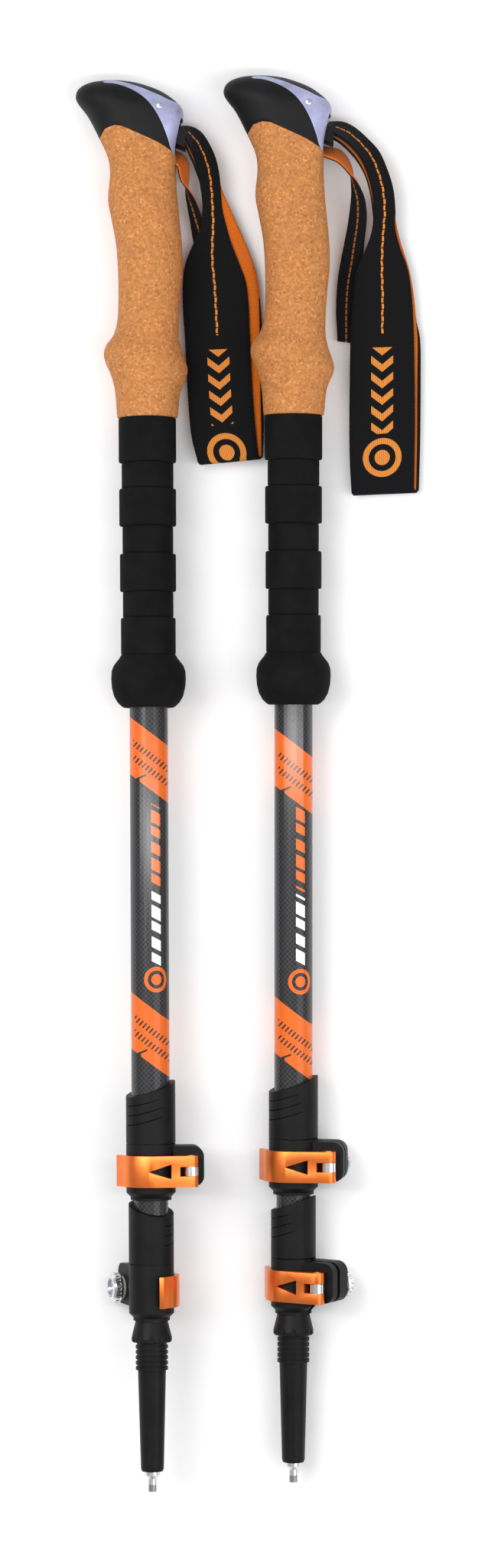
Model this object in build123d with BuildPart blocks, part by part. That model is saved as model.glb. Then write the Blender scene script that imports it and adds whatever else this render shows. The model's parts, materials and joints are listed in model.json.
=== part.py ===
from build123d import *
from math import acos, atan2, cos, degrees, hypot, radians, sin, tan
import os

# A pair of three-section trekking poles, collapsed and lying side by side.
#
# Every piece is drawn on a pole that stands on its tip: +Z runs up the pole, +X is the side
# of the grip that the strap leaves from, and -Y is the side that faces up once the pole lies
# down. A clamp is drawn with its ears towards +X and its lever in front, towards -Y, and is
# then turned about the pole. All sizes are millimetres and degrees.

# ---- Tubes -------------------------------------------------------------------------------
upper_tube_radius = 9.0
tube_wall = 0.7
tube_gap = 0.3            # air between one tube and the next
running_gap = 0.05        # guides and bushings on the tube that slides in them
seat_gap = 0.3            # pieces of different bodies that do not bear on each other
middle_tube_radius = upper_tube_radius - tube_wall - tube_gap
lower_tube_radius = middle_tube_radius - tube_wall - tube_gap
slide_travel = 340.0      # how far each sliding section pulls out
plug_space = 5.0          # room above a guide when the pole is collapsed
plug_head = 8.0
plug_spigot = 20.0

# ---- Tip ---------------------------------------------------------------------------------
carbide_radius = 1.9
carbide_length = 3.3
carbide_root = 4.0        # length of the insert inside its holder
holder_neck_radius = 2.15
holder_neck = 2.7
holder_radius = 3.6
holder_cone = 3.6
holder_root_radius = 2.4
holder_root = 12.0
ferrule_foot_radius = 5.0
ferrule_body_radius = 6.6
ferrule_length = 47.5
basket_seat_wall = 0.6
basket_seat_radius = lower_tube_radius + basket_seat_wall
basket_rib = 1.3
basket_groove = 1.2
basket_groove_depth = 0.6
basket_grooves = 4
basket_seat_length = basket_rib + basket_grooves * (basket_rib + basket_groove)
neck_wall = 0.05          # neck's outside, past the lower tube's
neck_radius = lower_tube_radius + neck_wall
neck_length = 1.7
skirt_wall = 2.55
skirt_radius = lower_tube_radius + skirt_wall
skirt_lip = 1.8
skirt_cone = 7.8
skirt_top_wall = 0.6
skirt_flutes = 12
ferrule_spigot = 24.0

# ---- Clamps ------------------------------------------------------------------------------
clamp_wall = 2.6
clamp_chamfer = 2.2
band_height = 25.0        # from the collar's foot to its relief slit
slit_height = 0.5
sleeve_low = 22.0         # sleeve above the slit, on its low side
sleeve_rise = 7.6
sleeve_high_side = 20.0   # direction of the sleeve's high side, about the pole
bushing_lip = 1.2
bushing_split = 1.4
ear_front = 5.6
ear_back = 8.4
ear_slot = 2.4
ear_low = 5.0
ear_high = 24.0
ear_round = 5.0
screw_stand_off = 6.8     # screw's middle, out from the collar's outside
screw_offset = upper_tube_radius + clamp_wall + screw_stand_off
ear_past_screw = 6.3
ear_reach = screw_offset + ear_past_screw
screw_radius = 1.9
lever_pin_radius = 2.1
eye_wall = 1.25
eye_radius = lever_pin_radius + eye_wall
eye_height = 2 * screw_radius + 0.4       # taller than the shank, so the bore goes right through it
lever_height = 14.6
lever_middle = 12.6       # height of the lever's centre line above the collar's foot
lever_thickness = 2.2
lever_start = 198.0       # direction of the band's free end, about the pole
lever_end = 280.0
tab_flare = 2.0           # how far the finger tab stands out from the band
lever_gap = 0.4
arm_inset = 1.6
arm_lift = 2.2
pin_recess = 0.3
cam_radius = 3.3
cam_throw = 0.4
fork_slot = eye_height + 0.3
fork_relief = 1.0
window_length = 10.8
window_height = 6.9
window_tip = -1.8
washer_radius = 5.4
washer_thickness = 1.4
nut_radius = 6.9
nut_length = 4.4
nut_flutes = 20
clamp_turns = {"left_upper": -4.0, "left_lower": -110.0, "right_upper": 10.0, "right_lower": 31.0}

# ---- Grip --------------------------------------------------------------------------------
shaft_window = 175.0      # bare upper tube between the sleeve's high side and the foam
foam_length = 136.2
bell_radius = 17.6
foam_bands = [(24.1, 42.2, 12.9), (42.2, 54.5, 11.9), (54.5, 72.3, 13.2), (72.3, 85.3, 11.95),
              (85.3, 102.9, 13.4), (102.9, 115.2, 12.2), (115.2, foam_length, 13.55)]
tube_in_grip = 118.5      # upper tube above the foot of the cork
core_spigot = 22.0
pin_x = 6.9
pin_z = 145.1
pin_radius = 1.4
pin_half_length = 11.8
slot_half_width = 7.7
webbing_half_width = 7.0
pin_gap = 0.2             # between the strap pin and the webbing round it
webbing = 1.6

# Grip sections from the foot of the cork to the crown: where the front of the hand rests,
# where the back does, and half the grip's thickness there.
grip_sections = [
    ((-14.2, 0), (14.4, 0), 13.2), ((-15.0, 12), (15.6, 12), 13.8), ((-16.8, 20), (18.4, 19), 15.5),
    ((-19.4, 26), (19.2, 22.8), 17.0), ((-20.3, 30.6), (18.2, 26.6), 17.3),
    ((-19.0, 34.8), (16.2, 32.5), 16.0), ((-15.6, 39.5), (15.1, 38.5), 13.8),
    ((-13.7, 47.5), (15.2, 47.5), 13.0), ((-13.3, 59), (15.9, 58), 13.2),
    ((-13.5, 71), (17.1, 71), 13.8), ((-14.4, 83), (16.7, 83), 13.6), ((-16.6, 95), (15.4, 96), 13.2),
    ((-18.0, 103.5), (14.6, 105), 13.0), ((-17.0, 115), (14.1, 115), 13.0),
    ((-17.9, 123), (14.2, 121.5), 13.3), ((-21.7, 131.7), (14.7, 128.2), 14.0),
    ((-27.0, 142.2), (16.5, 137.2), 14.8), ((-32.1, 148.9), (17.8, 142.3), 15.2),
    ((-33.0, 152.5), (16.9, 145.6), 14.8), ((-31.0, 156.1), (13.9, 149.2), 13.2),
    ((-25.6, 158.7), (7.4, 154.1), 9.8), ((-17.5, 159.6), (-2.6, 157.8), 4.0),
]
flange_station = 29.0     # the cork's flange, the part of the grip that rests on the ground
flange_depth = 17.3
head_edge = [(-26, 129.0), (-21.7, 131.7), (-19.0, 135.2), (-14.7, 136.4), (-11.0, 135.8),
             (-1.3, 131.4), (5.8, 128.2), (12.0, 124.6), (20, 119.0)]
inlay_top = [(-19.7, 157.9), (-13.9, 158.5), (-4.9, 155.9), (5.9, 151.2), (13.4, 147.2), (24, 141)]
inlay_bottom = [(18, 118.0), (12.2, 124.8), (7.7, 136.8), (4.0, 143.3), (-0.6, 149.0),
                (-6.7, 153.0), (-13.9, 156.1), (-19.7, 156.9)]
core_block = [(-20, 124), (-22, 147), (-9, 152), (5, 148), (12, 136), (12, 118)]
core_half_width = 9.0

# ---- Wrist straps: plan outlines, from the strap's exit round to it again ------------------
right_loop = [(19.3, 139.1), (22.7, 138.7), (28.8, 136.0), (34.9, 131.0), (40.7, 124.9),
              (45.4, 115.2), (47.9, 106.9), (48.4, 94.0), (50.8, 81.7), (55.1, 69.8),
              (57.4, 54.0), (60.0, 38.5), (60.6, 15.0), (59.8, -35.3), (28.4, -36.7),
              (26.7, -5.0), (27.0, 29.1), (28.1, 54.0), (29.2, 66.5), (33.1, 77.4), (37.1, 88.0),
              (37.8, 97.5), (37.1, 106.9), (34.4, 115.2), (30.2, 122.4), (24.8, 127.8), (19.3, 131.0)]
right_tail = [(16.9, 126.3), (21.2, 125.6), (24.8, 122.4), (28.1, 115.2), (31.7, 108.3),
              (34.7, 100.8), (34.4, 93.2), (33.5, 76.6), (29.0, 35.0), (20.9, 35.0), (20.5, 50.0),
              (20.9, 64.0), (23.0, 76.6), (25.6, 90.7), (27.2, 101.0), (26.6, 110.0),
              (21.8, 117.6), (16.6, 120.2)]
left_loop = [(19.3, 138.9), (21.6, 138.6), (25.9, 136.1), (29.5, 131.0), (32.7, 124.9),
             (35.1, 113.0), (37.4, 104.0), (43.7, 91.1), (48.7, 79.2), (52.3, 68.0), (53.7, 55.4),
             (54.2, 30.0), (54.6, 0.0), (54.3, -17.3), (23.7, -19.8), (20.2, -5.4), (18.9, 15.1),
             (17.6, 37.1), (17.4, 58.0), (18.3, 71.6), (20.4, 80.0), (25.5, 92.0), (26.5, 102.2),
             (25.4, 112.0), (23.2, 121.0), (20.6, 127.4), (19.3, 131.0)]
left_tail = [(16.9, 126.3), (20.6, 125.0), (22.6, 117.0), (25.0, 109.0), (28.0, 100.0),
             (30.0, 84.0), (24.0, 78.0), (18.8, 84.0), (17.6, 98.0), (17.2, 110.0), (17.0, 116.0),
             (16.6, 120.2)]
strap_thickness = 4.0
strap_floor_depth = 16.6  # depth of the strap's underside below the pole's axis, where it lies
strap_bend_station = 76.0

# ---- The pair on the ground ---------------------------------------------------------------
pole_spacing = 66.2       # between the two tips
left_yaw = 0.31
right_tip_ahead = 1.5
tip_clearance = 0.5       # between a clamp and the piece that it comes down on

# ---- Stations up the pole, from the point of the tip -------------------------------------
ferrule_foot = carbide_length + holder_neck + holder_cone
seat_foot = ferrule_foot + ferrule_length
neck_foot = seat_foot + basket_seat_length
skirt_foot = neck_foot + neck_length
ferrule_top = skirt_foot + skirt_lip + skirt_cone
lower_clamp_foot = ferrule_top + tip_clearance + bushing_lip
clamp_height = band_height + sleeve_low + sleeve_rise
upper_clamp_foot = lower_clamp_foot + clamp_height + tip_clearance + bushing_lip
foam_foot = upper_clamp_foot + clamp_height + shaft_window
cork_foot = foam_foot + foam_length
upper_tube_foot = upper_clamp_foot + band_height - 2.0
upper_tube_top = cork_foot + tube_in_grip
middle_tube_foot = lower_clamp_foot + band_height - 2.0
spigot_foot = upper_tube_top - core_spigot
middle_tube_top = spigot_foot - plug_space - plug_head
lower_tube_foot = neck_foot + neck_length
lower_tube_top = middle_tube_top - plug_spigot - plug_space - plug_head
sleeve_slant = degrees(atan2(sleeve_rise / 2, upper_tube_radius + clamp_wall))

parts_out = {}


def keep(name, shape):
    """Label a finished piece and remember it under its node's name."""
    shape.label = name
    parts_out[name] = shape


# ---- Plain turned and tubular pieces -------------------------------------------------------
def make_tube(radius, foot, top):
    with BuildPart() as tube:
        with BuildSketch(Plane.XY.offset(foot)):
            Circle(radius)
            Circle(radius - tube_wall, mode=Mode.SUBTRACT)
        extrude(amount=top - foot)
    return tube.part


def make_tube_plug(tube_radius, outer_bore, tube_top):
    """The guide at the top of a sliding tube: a grooved head and a hollow spigot."""
    with BuildPart() as plug:
        with BuildSketch(Plane.XY.offset(tube_top)):
            Circle(outer_bore - running_gap)
        extrude(amount=plug_head)
        with BuildSketch(Plane.XY.offset(tube_top - plug_spigot)):
            Circle(tube_radius - tube_wall)
        extrude(amount=plug_spigot)
        with BuildSketch(Plane.XY.offset(tube_top + plug_head / 2 - 1)):
            Circle(outer_bore)
            Circle(tube_radius - 0.6, mode=Mode.SUBTRACT)
        extrude(amount=2, mode=Mode.SUBTRACT)
        with BuildSketch(Plane.XY.offset(tube_top - plug_spigot)):
            Circle(tube_radius - tube_wall - 1.5)
        extrude(amount=plug_spigot + plug_head, mode=Mode.SUBTRACT)
    return plug.part


def make_carbide_tip():
    """A fluted insert with a hollow point, pressed into its holder."""
    with BuildPart() as insert:
        with BuildSketch():
            Circle(carbide_radius)
        extrude(amount=carbide_length + carbide_root)
        with PolarLocations(carbide_radius, 8):
            Hole(0.35, depth=2 * carbide_length)
        with Locations((0, 0, 0)):
            Sphere(0.9, mode=Mode.SUBTRACT)
    return insert.part


def make_tip_holder():
    neck_top = carbide_length + holder_neck
    with BuildPart() as holder:
        with BuildSketch(Plane.XZ):
            with BuildLine():
                Polyline((0, carbide_length), (holder_neck_radius, carbide_length),
                         (holder_neck_radius, neck_top), (holder_radius, neck_top + holder_cone / 2),
                         (holder_radius, ferrule_foot), (holder_root_radius, ferrule_foot),
                         (holder_root_radius, ferrule_foot + holder_root),
                         (0, ferrule_foot + holder_root), close=True)
            make_face()
        revolve(axis=Axis.Z)
        with BuildSketch(Plane.XY.offset(carbide_length)):
            Circle(carbide_radius)
        extrude(amount=carbide_root, mode=Mode.SUBTRACT)
    return holder.part


def make_tip_ferrule():
    """The plastic tip: tapered body, basket seat (rings standing for a screw thread), skirt and socket."""
    skirt_top = lower_tube_radius + skirt_top_wall
    with BuildPart() as ferrule:
        with BuildSketch(Plane.XZ):
            with BuildLine():
                Polyline((0, ferrule_foot), (ferrule_foot_radius, ferrule_foot),
                         (ferrule_foot_radius + 0.4, ferrule_foot + 1.2),
                         (ferrule_body_radius, seat_foot), (basket_seat_radius, seat_foot),
                         (basket_seat_radius, neck_foot), (neck_radius, neck_foot),
                         (neck_radius, skirt_foot), (skirt_radius - 0.4, skirt_foot),
                         (skirt_radius, skirt_foot + 0.6), (skirt_radius, skirt_foot + skirt_lip),
                         (skirt_top, ferrule_top), (0, ferrule_top), close=True)
            make_face()
        revolve(axis=Axis.Z)
        with BuildSketch(Plane.XY.offset(lower_tube_foot)):
            Circle(lower_tube_radius)
        extrude(amount=ferrule_top - lower_tube_foot, mode=Mode.SUBTRACT)
        with BuildSketch(Plane.XY.offset(neck_foot)):
            Circle(lower_tube_radius - tube_wall)
        extrude(amount=ferrule_spigot)
        with BuildSketch(Plane.XY.offset(seat_foot)):
            Circle(lower_tube_radius - tube_wall - 1.6)
        extrude(amount=basket_seat_length + ferrule_spigot + 5, mode=Mode.SUBTRACT)
        with BuildSketch(Plane.XY.offset(ferrule_foot)):
            Circle(holder_root_radius)
        extrude(amount=holder_root, mode=Mode.SUBTRACT)
        with BuildSketch(Plane.XY.offset(skirt_foot)):
            with PolarLocations(skirt_radius + 1.6, skirt_flutes):
                Circle(2.1)
        extrude(amount=skirt_lip + 3.2, mode=Mode.SUBTRACT)
        for groove in range(basket_grooves):
            foot = seat_foot + basket_rib + groove * (basket_rib + basket_groove)
            with BuildSketch(Plane.XY.offset(foot)):
                Circle(basket_seat_radius + 1)
                Circle(basket_seat_radius - basket_groove_depth, mode=Mode.SUBTRACT)
            extrude(amount=basket_groove, mode=Mode.SUBTRACT)
    return ferrule.part


# ---- Clamp pieces: foot of the collar at z = 0 -----------------------------------------------
def make_collar(fixed_radius):
    """Sleeve on the fixed tube, relief slit, and a split band with two ears."""
    outer = fixed_radius + clamp_wall
    ear_middle = (ear_low + ear_high) / 2
    with BuildPart() as collar:
        with BuildSketch():
            Circle(outer)
        extrude(amount=clamp_height)
        chamfer(collar.edges().group_by(Axis.Z)[0], length=clamp_chamfer)
        with BuildSketch(Plane.XZ) as ear_side:
            with Locations((ear_reach / 2, ear_middle)):
                Rectangle(ear_reach, ear_high - ear_low)
            fillet(ear_side.vertices().group_by(Axis.X)[-1], ear_round)
        extrude(amount=ear_front)
        with BuildSketch(Plane.XZ) as ear_rear:
            with Locations((ear_reach / 2, ear_middle)):
                Rectangle(ear_reach, ear_high - ear_low)
            fillet(ear_rear.vertices().group_by(Axis.X)[-1], ear_round)
        extrude(amount=-ear_back)
        with BuildSketch(Plane.XY):
            Circle(fixed_radius)
        extrude(amount=clamp_height, mode=Mode.SUBTRACT)
        with BuildSketch(Plane.XY):
            with Locations((outer, 0)):
                Rectangle(2 * outer + 8, ear_slot, align=(Align.CENTER, Align.CENTER))
            Circle(fixed_radius - 0.5, mode=Mode.SUBTRACT)
            with Locations((-fixed_radius, 0)):
                Rectangle(2 * fixed_radius, 2 * ear_slot, mode=Mode.SUBTRACT)
        extrude(amount=band_height, mode=Mode.SUBTRACT)
        with BuildSketch(Plane.XY.offset(band_height)):
            Circle(outer + 1)
            Circle(outer - 0.4, mode=Mode.SUBTRACT)
        extrude(amount=slit_height, mode=Mode.SUBTRACT)
        with BuildSketch(Plane.XY.offset(band_height)):
            with Locations((outer * 0.7, 0)):
                Rectangle(2 * outer, 3 * outer)
        extrude(amount=slit_height, mode=Mode.SUBTRACT)
        with BuildSketch(Plane.XZ):
            with Locations((screw_offset, lever_middle)):
                Circle(screw_radius + running_gap)
        extrude(amount=ear_reach, both=True, mode=Mode.SUBTRACT)
        slant = Plane((0, 0, band_height + sleeve_low + sleeve_rise / 2),
                      x_dir=(cos(radians(sleeve_high_side)), sin(radians(sleeve_high_side)),
                             tan(radians(sleeve_slant))),
                      z_dir=(-sin(radians(sleeve_slant)) * cos(radians(sleeve_high_side)),
                             -sin(radians(sleeve_slant)) * sin(radians(sleeve_high_side)),
                             cos(radians(sleeve_slant))))
        with BuildSketch(slant):
            Circle(3 * outer)
        extrude(amount=2 * clamp_height, mode=Mode.SUBTRACT)
        for turn in (1, 2, 3):
            with BuildSketch(slant.offset(-4.2 * turn)):
                Rectangle(3 * outer, 3 * outer)
                with Locations((0, 0)):
                    Ellipse((outer - 0.25) / cos(radians(sleeve_slant)), outer - 0.25,
                            mode=Mode.SUBTRACT)
                with Locations((0, 2 * outer)):
                    Rectangle(4 * outer, 4 * outer, mode=Mode.SUBTRACT)
            extrude(amount=0.4, mode=Mode.SUBTRACT)
    return collar.part


def make_bushing(fixed_radius, sliding_radius):
    """A split insert between the collar's band and the tube that slides, with a lip below."""
    with BuildPart() as bushing:
        with BuildSketch(Plane.XY.offset(-bushing_lip)):
            Circle(fixed_radius + 0.6)
        extrude(amount=bushing_lip)
        with BuildSketch():
            Circle(fixed_radius)
        extrude(amount=band_height - 2.5)
        with BuildSketch(Plane.XY.offset(-bushing_lip)):
            Circle(sliding_radius + running_gap)
        extrude(amount=band_height, mode=Mode.SUBTRACT)
        with BuildSketch(Plane.XY.offset(-bushing_lip)):
            with Locations((fixed_radius, 0)):
                Rectangle(4, bushing_split)
        extrude(amount=band_height, mode=Mode.SUBTRACT)
    return bushing.part


def pin_depth():
    """How far in front of the pole's axis the lever pin lies."""
    return ear_front + seat_gap + cam_radius + cam_throw


def make_lever(fixed_radius):
    """A curved band round the collar, with a finger tab, a window and a forked cam end."""
    inner = fixed_radius + clamp_wall + lever_gap
    outer = inner + lever_thickness
    pin_y = -pin_depth()
    cam_y = pin_y + cam_throw
    arm = (screw_offset - arm_inset, cam_y + arm_lift)
    # The arm leaves the band along its tangent, so it stays clear of the collar.
    touch = degrees(atan2(arm[1], arm[0]) - acos(inner / hypot(*arm)))
    with BuildPart() as lever:
        with BuildSketch(Plane.XY.offset(lever_middle - lever_height / 2)):
            with BuildLine():
                arc_out = CenterArc((0, 0), outer, lever_start, lever_end - lever_start)
                Line(arc_out @ 1, (screw_offset + 0.6, cam_y - cam_radius))
                Line((screw_offset + 0.6, cam_y - cam_radius), arm)
                arc_in = CenterArc((0, 0), inner, lever_start, 360 + touch - lever_start)
                Line(arm, arc_in @ 1)
                Line(arc_out @ 0, arc_in @ 0)
            make_face()
            with Locations((screw_offset, cam_y)):
                Circle(cam_radius)
            with BuildLine():
                Polyline(arc_in @ 0, arc_out @ 0, (-outer - tab_flare, -0.9),
                         (-outer - tab_flare + 1.1, 0.8), close=True)
            make_face()
        extrude(amount=lever_height)
        with BuildSketch(Plane.XZ.offset(0)):
            with BuildLine():
                Polyline((window_tip, lever_middle),
                         (window_tip + window_length, lever_middle + window_height / 2),
                         (window_tip + window_length, lever_middle - window_height / 2), close=True)
            make_face()
            with Locations((screw_offset + cam_radius, lever_middle)):
                Rectangle(2 * (cam_radius + 5.3), fork_slot)
        extrude(amount=2 * outer, mode=Mode.SUBTRACT)
        with BuildSketch(Plane.XY.offset(lever_middle - lever_height / 2)):
            with Locations((screw_offset, pin_y)):
                Circle(lever_pin_radius)
        extrude(amount=lever_height, mode=Mode.SUBTRACT)
        with BuildSketch(Plane.XY.offset(lever_middle - fork_slot / 2)):
            with Locations((screw_offset, cam_y)):
                Circle(cam_radius + fork_relief)
        extrude(amount=fork_slot, mode=Mode.SUBTRACT)
    return lever.part


def make_lever_pin():
    with BuildPart() as pin:
        with BuildSketch(Plane.XY.offset(lever_middle - lever_height / 2 + pin_recess)):
            with Locations((screw_offset, -pin_depth())):
                Circle(lever_pin_radius)
        extrude(amount=lever_height - 2 * pin_recess)
        chamfer(pin.edges().group_by(Axis.Z)[0], length=pin_recess)
        chamfer(pin.edges().group_by(Axis.Z)[-1], length=pin_recess)
    return pin.part


def make_screw():
    """An eye screw: the eye turns on the lever pin, the shank runs back through both ears."""
    shank_end = ear_back + washer_thickness + nut_length - 1.2
    with BuildPart() as screw:
        with BuildSketch(Plane.XY.offset(lever_middle - eye_height / 2)):
            with Locations((screw_offset, -pin_depth())):
                Circle(eye_radius)
        extrude(amount=eye_height)
        with BuildSketch(Plane.XZ.offset(pin_depth())):
            with Locations((screw_offset, lever_middle)):
                Circle(screw_radius)
        extrude(amount=-(pin_depth() + shank_end))
        with BuildSketch(Plane.XY.offset(lever_middle - eye_height / 2)):
            with Locations((screw_offset, -pin_depth())):
                Circle(lever_pin_radius + running_gap)
        extrude(amount=eye_height, mode=Mode.SUBTRACT)
    return screw.part


def make_washer():
    with BuildPart() as washer:
        with BuildSketch(Plane.XZ.offset(-ear_back)):
            with Locations((screw_offset, lever_middle)):
                Circle(washer_radius)
                Circle(screw_radius + running_gap, mode=Mode.SUBTRACT)
        extrude(amount=-washer_thickness)
    return washer.part


def make_nut():
    """A fluted thumb nut with a chamfered rim and a recessed end."""
    foot = ear_back + washer_thickness + running_gap
    with BuildPart() as nut:
        with BuildSketch(Plane.XZ.offset(-foot)):
            with Locations((screw_offset, lever_middle)):
                Circle(nut_radius)
        extrude(amount=-nut_length)
        chamfer(nut.edges().group_by(Axis.Y)[-1], length=0.9)
        chamfer(nut.edges().group_by(Axis.Y)[0], length=0.5)
        with BuildSketch(Plane.XZ.offset(-foot - 1.2)):
            with Locations((screw_offset, lever_middle)):
                with PolarLocations(nut_radius + 0.25, nut_flutes):
                    Circle(0.65)
        extrude(amount=-(nut_length - 2.6), mode=Mode.SUBTRACT)
        with BuildSketch(Plane.XZ.offset(-foot)):
            with Locations((screw_offset, lever_middle)):
                Circle(screw_radius + running_gap)
        extrude(amount=-nut_length, mode=Mode.SUBTRACT)
        with BuildSketch(Plane.XZ.offset(-foot - nut_length + 1.0)):
            with Locations((screw_offset, lever_middle)):
                Circle(nut_radius - 2.4)
        extrude(amount=-2, mode=Mode.SUBTRACT)
    return nut.part


# ---- Grip pieces: foot of the cork at z = 0 ---------------------------------------------------
def grip_blank():
    """The whole outside of cork and head, as one smooth loft through the grip's sections."""
    with BuildPart() as blank:
        for front, back, depth in grip_sections:
            middle = ((front[0] + back[0]) / 2, 0, (front[1] + back[1]) / 2)
            across = Vector(back[0] - front[0], 0, back[1] - front[1])
            with BuildSketch(Plane(middle, x_dir=across, z_dir=across.cross(Vector(0, 1, 0)))):
                Ellipse(across.length / 2, depth)
        loft(ruled=True)
    return blank.part


def slab(points, half_width, smooth=False):
    """A plate parallel to the grip's side view, centred on the pole."""
    with BuildPart() as plate:
        with BuildSketch(Plane.XZ):
            with BuildLine():
                if smooth:
                    edge = Spline(*points)
                    Line(edge @ 1, edge @ 0)
                else:
                    Polyline(*points, close=True)
            make_face()
        extrude(amount=half_width, both=True)
    return plate.part


def head_region():
    """Everything above the edge where the head's skin meets the cork."""
    with BuildPart() as region:
        with BuildSketch(Plane.XZ):
            with BuildLine():
                edge = Spline(*head_edge)
                Polyline(edge @ 1, (60, head_edge[-1][1]), (60, 260), (-90, 260),
                         (-90, head_edge[0][1]), edge @ 0)
            make_face()
        extrude(amount=60, both=True)
    return region.part


def inlay_region():
    """The strip of the core that shows between the two parts of the skin."""
    with BuildPart() as region:
        with BuildSketch(Plane.XZ):
            with BuildLine():
                top = Spline(*inlay_top)
                bottom = Spline(*inlay_bottom)
                Line(top @ 1, bottom @ 0)
                RadiusArc(bottom @ 1, top @ 0, 0.6)
            make_face()
        extrude(amount=60, both=True)
    return region.part


def strap_slot():
    """The pocket in the back of the head that holds the pin, the wedge and the webbing."""
    return slab([(30, 140.4), (17.1, 140.4), (9.6, 147.6), (7.5, 148.7), (5.0, 148.3), (3.0, 146.5),
                 (2.7, 139.5), (7.5, 125.2), (18, 120.0), (30, 120.0)], slot_half_width)


def make_head(blank):
    """Core and cover of the grip's head."""
    with BuildPart() as spigot:
        with BuildSketch(Plane.XY.offset(tube_in_grip)):
            Circle(upper_tube_radius)
        extrude(amount=22)
        with BuildSketch(Plane.XY.offset(tube_in_grip - core_spigot)):
            Circle(upper_tube_radius - tube_wall)
            Circle(upper_tube_radius - tube_wall - 2, mode=Mode.SUBTRACT)
        extrude(amount=core_spigot)
    head = blank & head_region()
    block = slab(core_block, core_half_width) & head
    solid_core = (head & inlay_region()) + block + spigot.part
    cover = head - solid_core - strap_slot()
    core = solid_core - strap_slot()
    with BuildPart() as pin:
        with BuildSketch(Plane.XZ):
            with Locations((pin_x, pin_z)):
                Circle(pin_radius)
        extrude(amount=pin_half_length, both=True)
    return core - pin.part, cover - pin.part, pin.part


def make_cork(blank):
    with BuildPart() as bore:
        with BuildSketch():
            Circle(upper_tube_radius)
        extrude(amount=200)
    return blank - head_region() - bore.part - strap_slot()


def make_foam():
    """The lower grip: a flared bell and stepped rings, on the upper tube."""
    with BuildPart() as foam:
        with BuildSketch(Plane.XZ):
            with BuildLine():
                bell = Spline((12.5, 0), (15.6, 3.4), (17.4, 9.5), (bell_radius, 15.0), (16.2, 20.4),
                              (foam_bands[0][2], foam_bands[0][0]))
                Line((0, 0), bell @ 0)
                Line(bell @ 1, (0, foam_bands[0][0]))
                Line((0, foam_bands[0][0]), (0, 0))
            make_face()
        revolve(axis=Axis.Z)
        for foot, top, radius in foam_bands:
            with BuildSketch(Plane.XY.offset(foot)):
                Circle(radius)
            extrude(amount=top - foot)
        with BuildSketch():
            Circle(upper_tube_radius)
        extrude(amount=foam_length, mode=Mode.SUBTRACT)
    return foam.part


def make_wedge():
    """The block that jams the webbing in the slot: thin end inside."""
    return slab([(9.2, 130.6), (18.7, 126.7), (18.7, 134.3), (9.2, 136.6)], slot_half_width - seat_gap)


def make_strap(loop, tail):
    """Loop and tail as one flat body, and the webbing's run round the pin inside the slot."""
    flat = slab(loop, 60) + slab(tail, 60)
    low = strap_floor_depth
    rise_top = pin_z - 6
    with BuildPart() as band:
        with BuildSketch(Plane.YZ):
            with BuildLine():
                Polyline((low, -60), (low, strap_bend_station), (strap_thickness / 2, rise_top),
                         (strap_thickness / 2, rise_top + 30), (-strap_thickness / 2, rise_top + 30),
                         (-strap_thickness / 2, rise_top),
                         (low - strap_thickness, strap_bend_station + 1),
                         (low - strap_thickness, -60), close=True)
            make_face()
        extrude(amount=90)
    round_pin = pin_radius + pin_gap
    with BuildPart() as eye:
        with BuildSketch(Plane.XZ):
            with Locations((pin_x, pin_z)):
                Circle(round_pin + webbing)
            with BuildLine():
                Polyline((8.6, 147.2), (17.0, 139.9), (21.0, 138.6), (21.5, 132.0), (18.4, 134.8),
                         (4.6, 142.4), close=True)
            make_face()
            with BuildLine():
                Polyline((3.7, 145.1), (3.5, 140.0), (8.1, 126.4), (18.5, 121.3), (18.5, 124.2),
                         (9.4, 128.6), (5.6, 141.0), (5.3, 143.2), close=True)
            make_face()
            with Locations((pin_x, pin_z)):
                Circle(round_pin, mode=Mode.SUBTRACT)
        extrude(amount=webbing_half_width, both=True)
    return (flat & band.part) + eye.part


# ---- One pole, standing on its tip -----------------------------------------------------------
def at_height(shape, height, turn=0.0):
    """A copy of a piece, turned about the pole and moved up it."""
    return shape.moved(Location((0, 0, height), (0, 0, 1), -turn))


def clamp_pieces(prefix, foot, fixed_radius, sliding_radius, turn):
    pieces = {
        "clamp_collar": make_collar(fixed_radius),
        "clamp_bushing": make_bushing(fixed_radius, sliding_radius),
        "clamp_lever": make_lever(fixed_radius),
        "clamp_lever_pin": make_lever_pin(),
        "clamp_screw": make_screw(),
        "clamp_washer": make_washer(),
        "clamp_thumb_nut": make_nut(),
    }
    return {f"{prefix}_{name}": at_height(shape, foot, turn) for name, shape in pieces.items()}


blank = grip_blank()
grip_core, head_cover, strap_pin = make_head(blank)
shared_pieces = {
    "grip_core": at_height(grip_core, cork_foot),
    "head_cover": at_height(head_cover, cork_foot),
    "strap_pin": at_height(strap_pin, cork_foot),
    "strap_wedge": at_height(make_wedge(), cork_foot),
    "cork_grip": at_height(make_cork(blank), cork_foot),
    "foam_grip": at_height(make_foam(), foam_foot),
    "upper_tube": make_tube(upper_tube_radius, upper_tube_foot, upper_tube_top),
    "middle_tube": make_tube(middle_tube_radius, middle_tube_foot, middle_tube_top),
    "middle_tube_plug": make_tube_plug(middle_tube_radius, upper_tube_radius - tube_wall,
                                       middle_tube_top),
    "lower_tube": make_tube(lower_tube_radius, lower_tube_foot, lower_tube_top),
    "lower_tube_plug": make_tube_plug(lower_tube_radius, middle_tube_radius - tube_wall,
                                      lower_tube_top),
    "tip_ferrule": make_tip_ferrule(),
    "tip_holder": make_tip_holder(),
    "carbide_tip": make_carbide_tip(),
}
strap_outlines = {"left": (left_loop, left_tail), "right": (right_loop, right_tail)}


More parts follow.
